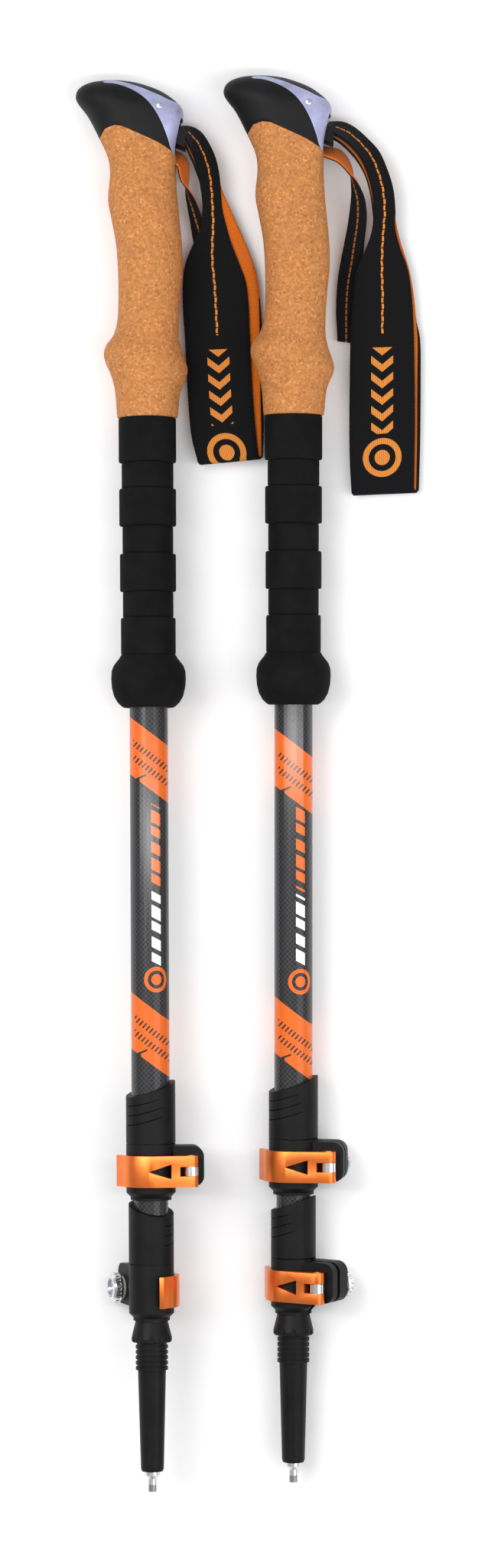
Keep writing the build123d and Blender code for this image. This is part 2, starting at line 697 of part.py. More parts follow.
def standing_pole(side):
    pieces = {f"{side}_{name}": shape for name, shape in shared_pieces.items()}
    pieces[f"{side}_wrist_strap"] = at_height(make_strap(*strap_outlines[side]), cork_foot)
    pieces |= clamp_pieces(f"{side}_upper", upper_clamp_foot, upper_tube_radius, middle_tube_radius,
                           clamp_turns[f"{side}_upper"])
    pieces |= clamp_pieces(f"{side}_lower", lower_clamp_foot, middle_tube_radius, lower_tube_radius,
                           clamp_turns[f"{side}_lower"])
    return pieces


def lying_place(side, pieces):
    """Where a pole lies: on its lowest clamp and on the cork's flange, strap side towards +X."""
    clamp_depth, clamp_station = max(
        (shape.bounding_box().max.Y, shape.bounding_box().center().Z)
        for name, shape in pieces.items() if "clamp" in name)
    flange = cork_foot + flange_station
    pitch = degrees(atan2(clamp_depth - flange_depth, flange - clamp_station))
    height = flange_depth + flange * tan(radians(pitch))
    yaw = left_yaw if side == "left" else 0.0
    across = 0.0 if side == "left" else pole_spacing
    along = 0.0 if side == "left" else right_tip_ahead
    return (Location((across, along, height)) * Location((0, 0, 0), (0, 0, 1), yaw)
            * Location((0, 0, 0), (1, 0, 0), -90 - pitch))


places = {}
for side in ("left", "right"):
    pole = standing_pole(side)
    places[side] = lying_place(side, pole)
    for name, shape in pole.items():
        keep(name, shape.moved(places[side]))

# The origin is below the middle of the pair, on the ground.
boxes = [shape.bounding_box() for shape in parts_out.values()]
middle_x = (min(box.min.X for box in boxes) + max(box.max.X for box in boxes)) / 2
middle_y = (min(box.min.Y for box in boxes) + max(box.max.Y for box in boxes)) / 2
ground = min(box.min.Z for box in boxes)
to_origin = Location((-middle_x, -middle_y, -ground))
places = {side: to_origin * place for side, place in places.items()}

os.makedirs("parts", exist_ok=True)
for name, shape in parts_out.items():
    placed = shape.moved(to_origin)
    placed.label = name
    export_step(placed, f"parts/{name}.step")

middle_overlap = middle_tube_top - slide_travel - upper_tube_foot
lower_overlap = lower_tube_top - slide_travel - middle_tube_foot
print(f"tube left in the next one when pulled out: {middle_overlap:.0f} and {lower_overlap:.0f} mm")
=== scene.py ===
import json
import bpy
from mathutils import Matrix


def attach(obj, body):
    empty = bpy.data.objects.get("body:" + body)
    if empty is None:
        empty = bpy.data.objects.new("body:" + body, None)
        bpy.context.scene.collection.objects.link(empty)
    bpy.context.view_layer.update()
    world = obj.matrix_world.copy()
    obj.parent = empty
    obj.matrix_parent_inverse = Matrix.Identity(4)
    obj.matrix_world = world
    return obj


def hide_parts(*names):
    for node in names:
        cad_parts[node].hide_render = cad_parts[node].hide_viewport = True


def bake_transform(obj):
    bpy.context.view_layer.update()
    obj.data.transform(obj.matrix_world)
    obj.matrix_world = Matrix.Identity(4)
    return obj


bl_info = {
    "name": "Trekking Pole Looks",
    "version": (1, 0, 0),
    "blender": (4, 5, 0),
    "location": "3D View > Sidebar > Trekking Poles",
    "description": "Builds grips, webbing straps, carbon shafts and clamps round a packed pair of poles",
    "category": "Add Mesh",
}

from math import cos, pi, radians, sin

import bmesh
import bpy
from bpy.props import FloatProperty, FloatVectorProperty, PointerProperty
from mathutils import Matrix, Vector

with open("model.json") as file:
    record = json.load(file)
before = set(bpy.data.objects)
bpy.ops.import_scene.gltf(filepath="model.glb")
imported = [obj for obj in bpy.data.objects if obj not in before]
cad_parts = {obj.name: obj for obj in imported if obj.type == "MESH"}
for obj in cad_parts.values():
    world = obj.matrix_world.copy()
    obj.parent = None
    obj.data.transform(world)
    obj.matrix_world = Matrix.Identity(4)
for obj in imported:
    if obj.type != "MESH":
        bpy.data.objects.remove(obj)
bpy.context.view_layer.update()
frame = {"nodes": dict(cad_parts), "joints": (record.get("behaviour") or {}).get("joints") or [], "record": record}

MM = 0.001
SIDES = ("left", "right")
LEVELS = ("upper", "lower")
TOP_BODY = {"left": "left_pole", "right": "right_pole"}

# Paint on the upper tubes, in metres: how much lower it lies than on the left pole, and how far below
# the foam the orange blocks end and begin, the pale blocks end and begin, and the ring's middle lies.
PAINT_SHIFT = {"left": 0.0, "right": -0.0068}
PAINT_MARKS = (0.0845, 0.0462, 0.1200, 0.0872, 0.1275)
WEBBING_WIDTH = 0.031

# Grip sections, in millimetres above the foot of the cork: front edge, back edge, half depth.
GRIP_SECTIONS = [
    ((-14.2, 0), (14.4, 0), 13.2), ((-15.0, 12), (15.6, 12), 13.8), ((-16.8, 20), (18.4, 19), 15.5),
    ((-19.4, 26), (19.2, 22.8), 17.0), ((-20.3, 30.6), (18.2, 26.6), 17.3),
    ((-19.0, 34.8), (16.2, 32.5), 16.0), ((-15.6, 39.5), (15.1, 38.5), 13.8),
    ((-13.7, 47.5), (15.2, 47.5), 13.0), ((-13.3, 59), (15.9, 58), 13.2),
    ((-13.5, 71), (17.1, 71), 13.8), ((-14.4, 83), (16.7, 83), 13.6), ((-16.6, 95), (15.4, 96), 13.2),
    ((-18.0, 103.5), (14.6, 105), 13.0), ((-17.0, 115), (14.1, 115), 13.0),
    ((-17.9, 123), (14.2, 121.5), 13.3), ((-21.7, 131.7), (14.7, 128.2), 14.0),
    ((-27.0, 142.2), (16.5, 137.2), 14.8), ((-32.0, 148.9), (17.7, 142.4), 15.2),
    ((-32.9, 152.7), (16.8, 146.0), 14.6), ((-30.8, 156.3), (13.6, 149.6), 12.9),
    ((-25.6, 158.6), (7.2, 154.2), 9.6), ((-18.8, 159.4), (-1.8, 157.7), 5.2),
    ((-13.0, 159.5), (-8.0, 158.9), 1.2),
]
HEAD_EDGE = [(-40, 129), (-26, 129.0), (-21.7, 131.7), (-19.0, 135.2), (-14.7, 136.4), (-11.0, 135.8),
             (-1.3, 131.4), (5.8, 128.2), (12.0, 124.6), (20, 119.0), (40, 107)]
INLAY_TOP = [(-19.9, 157.6), (-18.5, 158.3), (-13.9, 158.3), (-4.9, 155.6), (5.9, 151.0), (12.5, 148.0),
             (22, 146)]
INLAY_BOTTOM = [(20, 114.0), (12.6, 124.2), (10.6, 130.0), (7.7, 137.4), (4.0, 143.9), (-0.6, 149.2),
                (-6.7, 153.4), (-13.9, 156.2), (-19.0, 156.9)]
SLOT = [(40, 140.4), (17.1, 140.4), (9.6, 147.2), (3.0, 146.5), (2.7, 139.5), (7.5, 125.2), (18, 120.6),
        (40, 120.6)]
SLOT_HALF_WIDTH = 7.7
STRAP_PIN = (6.9, 145.1)
INLAY_PROUD = 0.12        # above the skin
PIN_END_RADIUS = 0.00145  # metres, as the next one
PIN_END_LENGTH = 0.0032

# Foam profile, in millimetres above its foot: height, radius, rounding of the step above.
BELL = [(0, 11.6), (0.5, 12.6), (2.4, 14.6), (5.4, 16.3), (9.5, 17.3), (13.5, 17.6), (17.0, 17.4),
        (19.6, 16.5), (21.6, 15.0), (23.2, 13.7), (24.4, 13.1)]
FOAM_BANDS = [(24.6, 42.2, 12.9), (42.2, 54.5, 11.9), (54.5, 72.3, 13.2), (72.3, 85.3, 11.95),
              (85.3, 102.9, 13.4), (102.9, 115.2, 12.2), (115.2, 136.2, 13.55)]


# ---------------------------------------------------------------------------------------------
# Sizes and colours
# ---------------------------------------------------------------------------------------------
def colour(name, description, default):
    return FloatVectorProperty(name=name, description=description, subtype="COLOR", size=3, min=0, max=1,
                               default=default)


def length(name, description, default):
    return FloatProperty(name=name, description=description, unit="LENGTH", min=0, default=default)


class PoleGripSettings(bpy.types.PropertyGroup):
    cork: colour("Cork", "Body colour of the cork", (0.53, 0.215, 0.066))
    cork_grain: colour("Cork grain", "Dark granules in the cork", (0.24, 0.085, 0.028))
    skin: colour("Head skin", "Soft skin of the head", (0.0075, 0.0075, 0.0085))
    inlay: colour("Inlay", "Hard core that shows in the head", (0.33, 0.34, 0.53))
    foam: colour("Foam", "Foam of the lower grip", (0.0065, 0.0065, 0.007))
    granule: length("Granule", "Size of a cork granule", 0.0010)
    skin_proud: length("Skin stands proud", "Height of the skin above the cork", 0.00005)


class PoleShaftSettings(bpy.types.PropertyGroup):
    carbon: colour("Carbon", "Light yarns of the weave", (0.040, 0.040, 0.044))
    carbon_dark: colour("Carbon dark", "Dark yarns of the weave", (0.006, 0.006, 0.007))
    band: colour("Band", "Painted bands and marks", (0.76, 0.135, 0.008))
    mark: colour("Pale mark", "Second colour of the marks", (0.85, 0.85, 0.85))
    yarn: length("Yarn", "Width of a yarn in the weave", 0.0012)


class PoleClampSettings(bpy.types.PropertyGroup):
    lever: colour("Lever", "Anodised lever", (0.86, 0.20, 0.035))
    plastic: colour("Plastic", "Moulded collar, ferrule and wedge", (0.006, 0.006, 0.0068))
    metal: colour("Metal", "Nuts, screws and pins", (0.78, 0.78, 0.80))
    washer: colour("Washer", "Translucent washer", (0.88, 0.86, 0.70))


class PoleStrapSettings(bpy.types.PropertyGroup):
    webbing: colour("Webbing", "Outer face of the webbing", (0.006, 0.006, 0.007))
    lining: colour("Lining", "Inner face of the webbing", (0.78, 0.15, 0.012))
    thread: colour("Thread", "Stitching and woven marks", (0.95, 0.33, 0.06))
    thickness: length("Thickness", "Thickness of one layer of webbing", 0.0015)


class PoleStageSettings(bpy.types.PropertyGroup):
    camera_distance: length("Camera distance", "Height of the camera above the poles", 1.9)
    view_height: length("View height", "Height of the picture at the poles", 0.7382)
    floor: colour("Floor", "Plain pale floor", (0.97, 0.97, 0.98))


class PoleSettings(bpy.types.PropertyGroup):
    grip: PointerProperty(type=PoleGripSettings)
    shaft: PointerProperty(type=PoleShaftSettings)
    clamp: PointerProperty(type=PoleClampSettings)
    strap: PointerProperty(type=PoleStrapSettings)
    stage: PointerProperty(type=PoleStageSettings)


# ---------------------------------------------------------------------------------------------
# Places on the poles
# ---------------------------------------------------------------------------------------------
def joint(name):
    return next(j for j in frame["joints"] if j["name"] == name)


def mount(name):
    return next(m for m in frame["record"]["mounts"] if m["name"] == name)


def pole_matrix(side):
    """From a pole that stands on its tip, +X to the strap and -Y up once it lies, to the frame."""
    up = Vector(joint(f"{side}_upper_lever_turn")["axis"])
    strap_way = -Vector(joint(f"{side}_strap_lift")["axis"])
    depth = up.cross(strap_way)
    on_axis = Vector(mount(f"{side}_basket_seat")["pos_m"])
    tip = min(v.co.dot(up) for v in frame["nodes"][f"{side}_carbide_tip"].data.vertices)
    origin = on_axis - up * (on_axis.dot(up) - tip)
    matrix = Matrix((strap_way, depth, up)).transposed().to_4x4()
    matrix.translation = origin
    return matrix


POLE = {side: pole_matrix(side) for side in SIDES}


def stations(side, node):
    """Lowest and highest station of a node along its pole, from the tip."""
    back = POLE[side].inverted()
    heights = [(back @ v.co).z for v in frame["nodes"][f"{side}_{node}"].data.vertices]
    return min(heights), max(heights)


def reach(side, node):
    """Largest distance of a node from its pole's axis."""
    back = POLE[side].inverted()
    return max((back @ v.co).xy.length for v in frame["nodes"][f"{side}_{node}"].data.vertices)


def smooth_path(points, steps):
    """Catmull-Rom points through the given ones, steps to a span."""
    vectors = [Vector(p) for p in points]
    ends = [2 * vectors[0] - vectors[1], *vectors, 2 * vectors[-1] - vectors[-2]]
    out = []
    for i in range(1, len(ends) - 2):
        a, b, c, d = ends[i - 1:i + 3]
        for k in range(steps):
            t = k / steps
            out.append(0.5 * (2 * b + (c - a) * t + (2 * a - 5 * b + 4 * c - d) * t * t
                              + (3 * b - a - 3 * c + d) * t * t * t))
    out.append(vectors[-1])
    return out


# ---------------------------------------------------------------------------------------------
# Meshes
# ---------------------------------------------------------------------------------------------
def loft(bm, rings):
    """Extrudes a closed ring through the given rings. Returns its vertices, ring by ring."""
    first = bmesh.ops.create_circle(bm, segments=len(rings[0]), radius=1.0)["verts"]
    for vert, point in zip(first, rings[0]):
        vert.co = point
    grid = [first]
    for ring in rings[1:]:
        last = grid[-1]
        place = {vert: i for i, vert in enumerate(last)}
        edges = [bm.edges.get((last[i - 1], last[i])) for i in range(len(last))]
        made = bmesh.ops.extrude_edge_only(bm, edges=edges)["geom"]
        following = [None] * len(last)
        for vert in (g for g in made if isinstance(g, bmesh.types.BMVert)):
            below = next(e.other_vert(vert) for e in vert.link_edges if e.other_vert(vert) in place)
            following[place[below]] = vert
        for vert, point in zip(following, ring):
            vert.co = point
        grid.append(following)
    return grid


def cap(bm, ring):
    bmesh.ops.contextual_create(bm, geom=ring)


def grid_faces(bm, grid):
    """Every face of a loft with its ring and its place round the ring."""
    around = len(grid[0])
    for i in range(len(grid) - 1):
        for j in range(around):
            k = (j + 1) % around
            corners = (grid[i][j], grid[i][k], grid[i + 1][k], grid[i + 1][j])
            yield i, j, bm.faces.get(corners), corners


def lay_uv(bm, grid, across, along):
    """UVs in metres: across has one more value than the ring has vertices."""
    uv = bm.loops.layers.uv.new("surface")
    for i, j, face, corners in grid_faces(bm, grid):
        values = ((across[j], along[i]), (across[j + 1], along[i]),
                  (across[j + 1], along[i + 1]), (across[j], along[i + 1]))
        place = dict(zip(corners, values))
        for loop in face.loops:
            loop[uv].uv = place[loop.vert]


def add_piece(name, bm, materials, matrix=None, sharp=40):
    """A finished piece at the origin, its place in its mesh, shaded smooth below the sharp angle."""
    bmesh.ops.recalc_face_normals(bm, faces=bm.faces)
    if matrix is not None:
        bmesh.ops.transform(bm, matrix=matrix, verts=bm.verts)
    mesh = bpy.data.meshes.new(name)
    bm.to_mesh(mesh)
    bm.free()
    for material in materials:
        mesh.materials.append(material)
    mesh.shade_smooth()
    mesh.set_sharp_from_angle(angle=radians(sharp))
    obj = bpy.data.objects.new(name, mesh)
    bpy.context.scene.collection.objects.link(obj)
    return obj


def apply_modifiers(obj):
    graph = bpy.context.evaluated_depsgraph_get()
    mesh = bpy.data.meshes.new_from_object(obj.evaluated_get(graph))
    obj.modifiers.clear()
    old = obj.data
    obj.data = mesh
    bpy.data.meshes.remove(old)


def cut(obj, tool, operation):
    """One boolean step, applied, after which the tool is removed."""
    step = obj.modifiers.new("cut", "BOOLEAN")
    step.operation = operation
    step.solver = "EXACT"
    step.object = tool
    apply_modifiers(obj)
    mesh = tool.data
    bpy.data.objects.remove(tool)
    bpy.data.meshes.remove(mesh)


def prism(name, outline, half_width, matrix):
    """A plate parallel to the grip's side view, from millimetres to the frame."""
    bm = bmesh.new()
    rim = [bm.verts.new((x * MM, -half_width * MM, z * MM)) for x, z in outline]
    face = bm.faces.new(rim)
    made = bmesh.ops.extrude_face_region(bm, geom=[face])["geom"]
    moved = [g for g in made if isinstance(g, bmesh.types.BMVert)]
    bmesh.ops.translate(bm, verts=moved, vec=(0, 2 * half_width * MM, 0))
    return add_piece(name, bm, [], matrix)


def soften(obj, width, angle=35, segments=2):
    bevel = obj.modifiers.new("soften", "BEVEL")
    bevel.width = width
    bevel.segments = segments
    bevel.limit_method = "ANGLE"
    bevel.angle_limit = radians(angle)
    bevel.harden_normals = False
    apply_modifiers(obj)
    obj.data.shade_smooth()
    obj.data.set_sharp_from_angle(angle=radians(50))


# ---------------------------------------------------------------------------------------------
# Materials
# ---------------------------------------------------------------------------------------------
class Finish:
    """A material under construction: short names for the nodes that the finishes here use."""

    def __init__(self, name):
        self.material = bpy.data.materials.new(name)
        self.material.use_nodes = True
        self.tree = self.material.node_tree
        self.tree.nodes.clear()
        self.shader = self.tree.nodes.new("ShaderNodeBsdfPrincipled")
        output = self.tree.nodes.new("ShaderNodeOutputMaterial")
        self.tree.links.new(self.shader.outputs["BSDF"], output.inputs["Surface"])

    def node(self, kind, inputs=None, **settings):
        made = self.tree.nodes.new(kind)
        for key, value in settings.items():
            setattr(made, key, value)
        for key, value in (inputs or {}).items():
            self.put(made.inputs[key], value)
        return made

    def put(self, socket, value):
        if isinstance(value, bpy.types.NodeSocket):
            self.tree.links.new(value, socket)
        elif socket.type == "RGBA" and len(value) == 3:
            socket.default_value = (*value, 1)
        else:
            socket.default_value = value

    def set(self, **inputs):
        for key, value in inputs.items():
            self.put(self.shader.inputs[key.replace("_", " ")], value)
        return self

    def place(self, scale=(1, 1, 1), uv=False):
        source = self.node("ShaderNodeUVMap", uv_map="surface") if uv else self.node("ShaderNodeTexCoord")
        where = source.outputs["UV" if uv else "Object"]
        return self.node("ShaderNodeMapping", {"Vector": where, "Scale": scale}).outputs["Vector"]

    def split(self, vector):
        return self.node("ShaderNodeSeparateXYZ", {"Vector": vector}).outputs

    def math(self, operation, first, second=0.0, third=0.0):
        made = self.node("ShaderNodeMath", {0: first, 1: second, 2: third}, operation=operation)
        return made.outputs[0]

    def noise(self, where, scale, detail=3.0, roughness=0.55):
        return self.node("ShaderNodeTexNoise", {"Vector": where, "Scale": scale, "Detail": detail,
                                                "Roughness": roughness}).outputs["Fac"]

    def cells(self, where, scale, feature="F1", output="Distance", randomness=1.0):
        return self.node("ShaderNodeTexVoronoi", {"Vector": where, "Scale": scale,
                                                  "Randomness": randomness},
                         feature=feature).outputs[output]

    def ramp(self, value, low, high):
        made = self.node("ShaderNodeMapRange", {"Value": value, "From Min": low, "From Max": high})
        return made.outputs["Result"]

    def mix(self, share, first, second):
        made = self.node("ShaderNodeMix", data_type="RGBA")
        self.put(made.inputs[0], share)
        self.put(made.inputs[6], first)
        self.put(made.inputs[7], second)
        return made.outputs[2]

    def times(self, first, second):
        return self.math("MULTIPLY", first, second)

    def plus(self, first, second):
        return self.math("ADD", first, second)

    def minus(self, first, second):
        return self.math("SUBTRACT", first, second)

    def over(self, first, second):
        return self.math("DIVIDE", first, second)

    def less(self, first, second):
        return self.math("LESS_THAN", first, second)

    def more(self, first, second):
        return self.math("GREATER_THAN", first, second)

    def larger(self, first, second):
        return self.math("MAXIMUM", first, second)

    def between(self, value, low, high):
        """1 between the two edges, each a number or a socket."""
        return self.math("MULTIPLY", self.math("GREATER_THAN", value, low),
                         self.math("LESS_THAN", value, high))

    def bump(self, height, distance, strength=1.0):
        made = self.node("ShaderNodeBump", {"Height": height, "Distance": distance, "Strength": strength})
        self.tree.links.new(made.outputs["Normal"], self.shader.inputs["Normal"])
        return self


def cork_finish(grip):
    """Pressed granules: blotchy body, dark grains and pits, all a millimetre or two across."""
    f = Finish("cork")
    where = f.place()
    size = 1 / grip.granule
    tint = f.cells(where, size, output="Color")
    tone = f.split(tint)[0]
    body = f.mix(f.ramp(tone, 0.0, 1.0), [c * 0.80 for c in grip.cork],
                 [min(1, c * 1.22) for c in grip.cork])
    cloud = f.ramp(f.noise(where, 60, 4), 0.35, 0.7)
    body = f.mix(f.times(cloud, 0.2), body, [c * 0.72 for c in grip.cork])
    grains = f.ramp(f.split(f.cells(where, size * 0.8, output="Color"))[1], 0.93, 0.96)
    body = f.mix(f.times(grains, 0.42), body, grip.cork_grain)
    light = f.ramp(f.split(tint)[2], 0.92, 0.95)
    body = f.mix(f.times(light, 0.5), body, [min(1, c * 1.7) for c in grip.cork])
    fine = f.ramp(f.noise(where, 2400, 2), 0.62, 0.72)
    body = f.mix(f.times(fine, 0.3), body, grip.cork_grain)
    edges = f.ramp(f.cells(where, size, feature="DISTANCE_TO_EDGE"), 0.0, 0.12)
    height = f.plus(f.times(edges, 0.6), f.times(f.noise(where, 1500, 3), 0.5))
    f.set(Base_Color=body, Roughness=0.78, Specular_IOR_Level=0.25)
    f.bump(height, 0.00035, 0.55)
    return f.material


def soft_finish(name, body, roughness, grain, depth, shine=0.3):
    """Moulded rubber, foam or plastic: one tone, slightly clouded, with a fine grain."""
    f = Finish(name)
    where = f.place()
    cloud = f.ramp(f.noise(where, 90, 3), 0.3, 0.7)
    f.set(Base_Color=f.mix(cloud, [c * 0.8 for c in body], [c * 1.35 for c in body]),
          Roughness=roughness, Specular_IOR_Level=shine)
    f.bump(f.noise(where, grain, 2), depth, 0.5)
    return f.material


def metal_finish(name, body, roughness, streak):
    f = Finish(name)
    where = f.place(scale=(1, 0.08, 1))
    lines = f.noise(where, streak, 2)
    f.set(Base_Color=f.mix(f.ramp(lines, 0.3, 0.7), [c * 0.88 for c in body], body), Metallic=1.0,
          Roughness=roughness)
    f.bump(lines, 0.00004, 0.4)
    return f.material


def lever_finish(clamp):
    """Bead-blasted, orange anodised aluminium with a faint cloudiness."""
    f = Finish("anodised_lever")
    where = f.place()
    cloud = f.ramp(f.noise(where, 120, 3), 0.3, 0.7)
    body = f.mix(cloud, [c * 0.9 for c in clamp.lever], clamp.lever)
    f.set(Base_Color=body, Metallic=0.85, Roughness=0.32, Coat_Weight=0.1, Coat_Roughness=0.25)
    f.bump(f.noise(where, 6000, 2), 0.00003, 0.5)
    return f.material


def washer_finish(clamp):
    f = Finish("washer")
    f.set(Base_Color=clamp.washer, Roughness=0.3, Transmission_Weight=0.35, IOR=1.45,
          Subsurface_Weight=0.3, Subsurface_Radius=(0.002, 0.002, 0.001))
    f.bump(f.noise(f.place(), 900, 2), 0.00003, 0.3)
    return f.material


def weave(f, shaft, where):
    """Plain carbon weave on the tube's own UVs: colour and height of crossing yarns."""
    u, v = f.split(where)[0], f.split(where)[1]
    across = f.math("FLOOR", f.over(u, shaft.yarn))
    up = f.math("FLOOR", f.over(v, shaft.yarn))
    warp = f.math("MODULO", f.math("ABSOLUTE", f.plus(across, up)), 2.0)
    fleck = f.noise(where, 900, 2)
    tone = f.plus(f.times(warp, 0.6), f.times(fleck, 0.5))
    return f.mix(f.ramp(tone, 0.15, 1.0), shaft.carbon_dark, shaft.carbon), warp


def carbon_finish(shaft, name="carbon"):
    f = Finish(name)
    where = f.place(uv=True)
    body, warp = weave(f, shaft, where)
    f.set(Base_Color=body, Roughness=0.45, Specular_IOR_Level=0.2, Coat_Weight=0.45, Coat_Roughness=0.12)
    f.bump(warp, 0.00003, 0.25)
    return f.material


def painted_shaft_finish(shaft, bands, marks):
    """Carbon with slanting bands, a row of slanted blocks and a plain ring, painted under the lacquer.

    UVs are (arc from the front, station); bands and marks are stations in metres."""
    f = Finish("painted_shaft")
    where = f.place(uv=True)
    body, warp = weave(f, shaft, where)
    arc, height = f.split(where)[0], f.split(where)[1]
    radius = 0.009
    half_block = 0.0023
    block_pitch = 0.0074
    dash_pitch = 0.0026
    side = f.times(f.math("SINE", f.over(arc, radius)), radius)
    slope = 0.76
    level = f.plus(height, f.times(side, slope))
    front = f.less(f.math("ABSOLUTE", arc), radius * 2.4)
    orange = 0.0
    for top, bottom in bands:
        main = f.between(level, bottom, top)
        notch_level = f.minus(height, f.times(side, 0.42))
        notch = f.times(f.less(notch_level, bottom + 0.0072), f.less(side, -0.0042))
        below = f.less(level, bottom + 0.004)
        cut_off = f.times(notch, below)
        spike = f.times(f.between(notch_level, bottom + 0.0062, bottom + 0.0072),
                        f.between(side, -0.0045, -0.0012))
        keep = f.times(f.minus(1.0, cut_off), f.minus(1.0, spike))
        shape = f.times(main, keep)
        dash_row = f.minus(level, (top + bottom) / 2)
        along = f.minus(side, f.times(height, 0.9))
        cell = f.math("FRACT", f.over(along, dash_pitch))
        rows = f.plus(f.between(dash_row, 0.0006, 0.0042), f.between(dash_row, -0.0062, -0.0026))
        dashes = f.times(f.between(cell, 0.30, 0.70), rows)
        dashes = f.times(dashes, f.between(side, -0.0072, 0.0095))
        shape = f.times(shape, f.minus(1.0, f.times(dashes, front)))
        orange = f.larger(orange, shape)
    middle = 0.0034
    inside = f.between(arc, middle - half_block, middle + half_block)
    slant = f.plus(height, f.times(f.minus(arc, middle), 0.5))
    block = f.math("FRACT", f.over(slant, block_pitch))
    step = f.math("FLOOR", f.over(slant, block_pitch))
    gap = f.plus(0.22, f.times(f.math("MODULO", f.math("ABSOLUTE", step), 3.0), 0.1))
    blocks = f.times(inside, f.more(block, gap))
    orange_low, orange_high, pale_low, pale_high, ring_at = marks
    orange = f.larger(orange, f.times(blocks, f.between(slant, orange_low, orange_high)))
    pale = f.times(blocks, f.between(slant, pale_low, pale_high))
    across_ring = f.math("POWER", f.minus(arc, middle), 2.0)
    along_ring = f.math("POWER", f.minus(height, ring_at), 2.0)
    from_ring = f.math("SQRT", f.plus(across_ring, along_ring))
    ring = f.plus(f.between(from_ring, 0.0042, 0.0060), f.less(from_ring, 0.0026))
    orange = f.larger(orange, ring)
    body = f.mix(orange, body, shaft.band)
    body = f.mix(pale, body, shaft.mark)
    f.set(Base_Color=body, Roughness=0.45, Specular_IOR_Level=0.2, Coat_Weight=0.45, Coat_Roughness=0.12)
    f.bump(warp, 0.00003, 0.2)
    return f.material


def webbing_finish(name, strap, body, wide, marks=None):
    """Woven tape on its own UVs: u across in metres from the middle, v along.

    Fine ribs run across, a selvedge at each edge, and a line of stitches down the middle."""
    f = Finish(name)
    where = f.place(uv=True)
    u, v = f.split(where)[0], f.split(where)[1]
    edge = f.math("ABSOLUTE", u)
    rib = f.math("SINE", f.times(v, 2 * pi / 0.00085))
    yarn = f.math("SINE", f.plus(f.times(u, 2 * pi / 0.0011), f.times(v, 2 * pi / 0.0017)))
    height = f.plus(f.times(rib, 0.5), f.times(yarn, 0.5))
    # Painted shade in the grooves between ribs and yarns and painted highlight on their crests: the colour runs
    # from dark to light with the weave's height.
    shade = f.ramp(height, -1.4, 1.2)
    fuzz = f.noise(where, 1300, 2)
    colours = f.mix(f.times(shade, fuzz), [c * 0.55 for c in body], [min(1, c * 1.7) for c in body])
    selvedge = f.more(edge, wide / 2 - 0.0011)
    colours = f.mix(selvedge, colours, strap.webbing)
    if marks:
        colours, raised = marks(f, strap, u, v, colours)
        height = f.plus(height, raised)
    f.set(Base_Color=colours, Roughness=0.82, Specular_IOR_Level=0.12, Sheen_Weight=0.06,
          Sheen_Roughness=0.4)
    f.bump(height, 0.00016, 0.7)
    return f.material


def outer_marks(stitch_from, stitch_to, mark_from, mark_to, ring_at):
    """Stitching down the narrow part, then a column of woven chevrons and a plain ring."""
    def draw(f, strap, u, v, colours):
        wander = f.times(f.math("SINE", f.times(v, 2 * pi / 0.0062)), 0.00016)
        line = f.less(f.math("ABSOLUTE", f.minus(u, wander)), 0.0005)
        stitch = f.math("FRACT", f.over(v, 0.0029))
        line = f.times(line, f.more(stitch, 0.16))
        line = f.times(line, f.between(v, stitch_from, stitch_to))
        fold = f.math("ABSOLUTE", u)
        arrow = f.math("FRACT", f.over(f.plus(v, f.times(fold, 0.8)), 0.0078))
        chevron = f.times(f.between(arrow, 0.0, 0.46), f.less(fold, 0.0052))
        chevron = f.times(chevron, f.between(v, mark_from, mark_to))
        from_ring = f.math("SQRT",
                           f.plus(f.math("POWER", u, 2.0), f.math("POWER", f.minus(v, ring_at), 2.0)))
        ring = f.plus(f.between(from_ring, 0.0064, 0.0092), f.less(from_ring, 0.0036))
        woven = f.larger(f.larger(line, chevron), ring)
        satin = f.ramp(f.math("SINE", f.times(u, 2 * pi / 0.0006)), -2.0, 1.0)
        return f.mix(f.times(woven, satin), colours, strap.thread), f.times(woven, 0.9)
    return draw


def tail_marks(f, strap, u, v, colours):
    """A line of pale stitches along the folded tail."""
    stitch = f.math("FRACT", f.over(v, 0.0029))
    line = f.times(f.less(f.math("ABSOLUTE", u), 0.0004), f.more(stitch, 0.2))
    return f.mix(f.times(line, 0.3), colours, strap.thread), f.times(line, 0.7)


# ---------------------------------------------------------------------------------------------
# Grip
# ---------------------------------------------------------------------------------------------
GRIP_STEPS = 4
GRIP_AROUND = 72


def grip_rungs():
    """Finely spaced grip sections: centre, half chord and half depth, in millimetres."""
    rows = smooth_path([(*front, *back, depth) for front, back, depth in
                        [(Vector(f), Vector(b), d) for f, b, d in GRIP_SECTIONS]], GRIP_STEPS)
    return [(Vector((r[0], 0, r[1])), Vector((r[2], 0, r[3])), max(r[4], 0.2)) for r in rows]


def grip_point(rungs, place, turn, proud=0.0):
    """A point on the grip: place runs from 0 at the cork's foot to 1 at the crown."""
    at = min(max(place, 0.0), 1.0) * (len(rungs) - 1)
    i = min(int(at), len(rungs) - 2)
    share = at - i
    front = rungs[i][0].lerp(rungs[i + 1][0], share)
    back = rungs[i][1].lerp(rungs[i + 1][1], share)
    depth = rungs[i][2] + (rungs[i + 1][2] - rungs[i][2]) * share
    half = (back - front) / 2
    half += half.normalized() * proud
    along, across = cos(turn), sin(turn)
    if along > 0:
        power = 2 / squareness(back.z)
        along, across = along ** power, abs(across) ** power * (1 if across > 0 else -1)
    return (front + back) / 2 + half * along + Vector((0, (depth + proud) * across, 0))


def squareness(height):
    """Power of the section's back half: 2 is an ellipse, and the back of the head is squarer."""
    rise = min(max((height - 104) / 18, 0.0), 1.0)
    fall = min(max((156 - height) / 10, 0.0), 1.0)
    return 2 + 1.4 * rise * fall


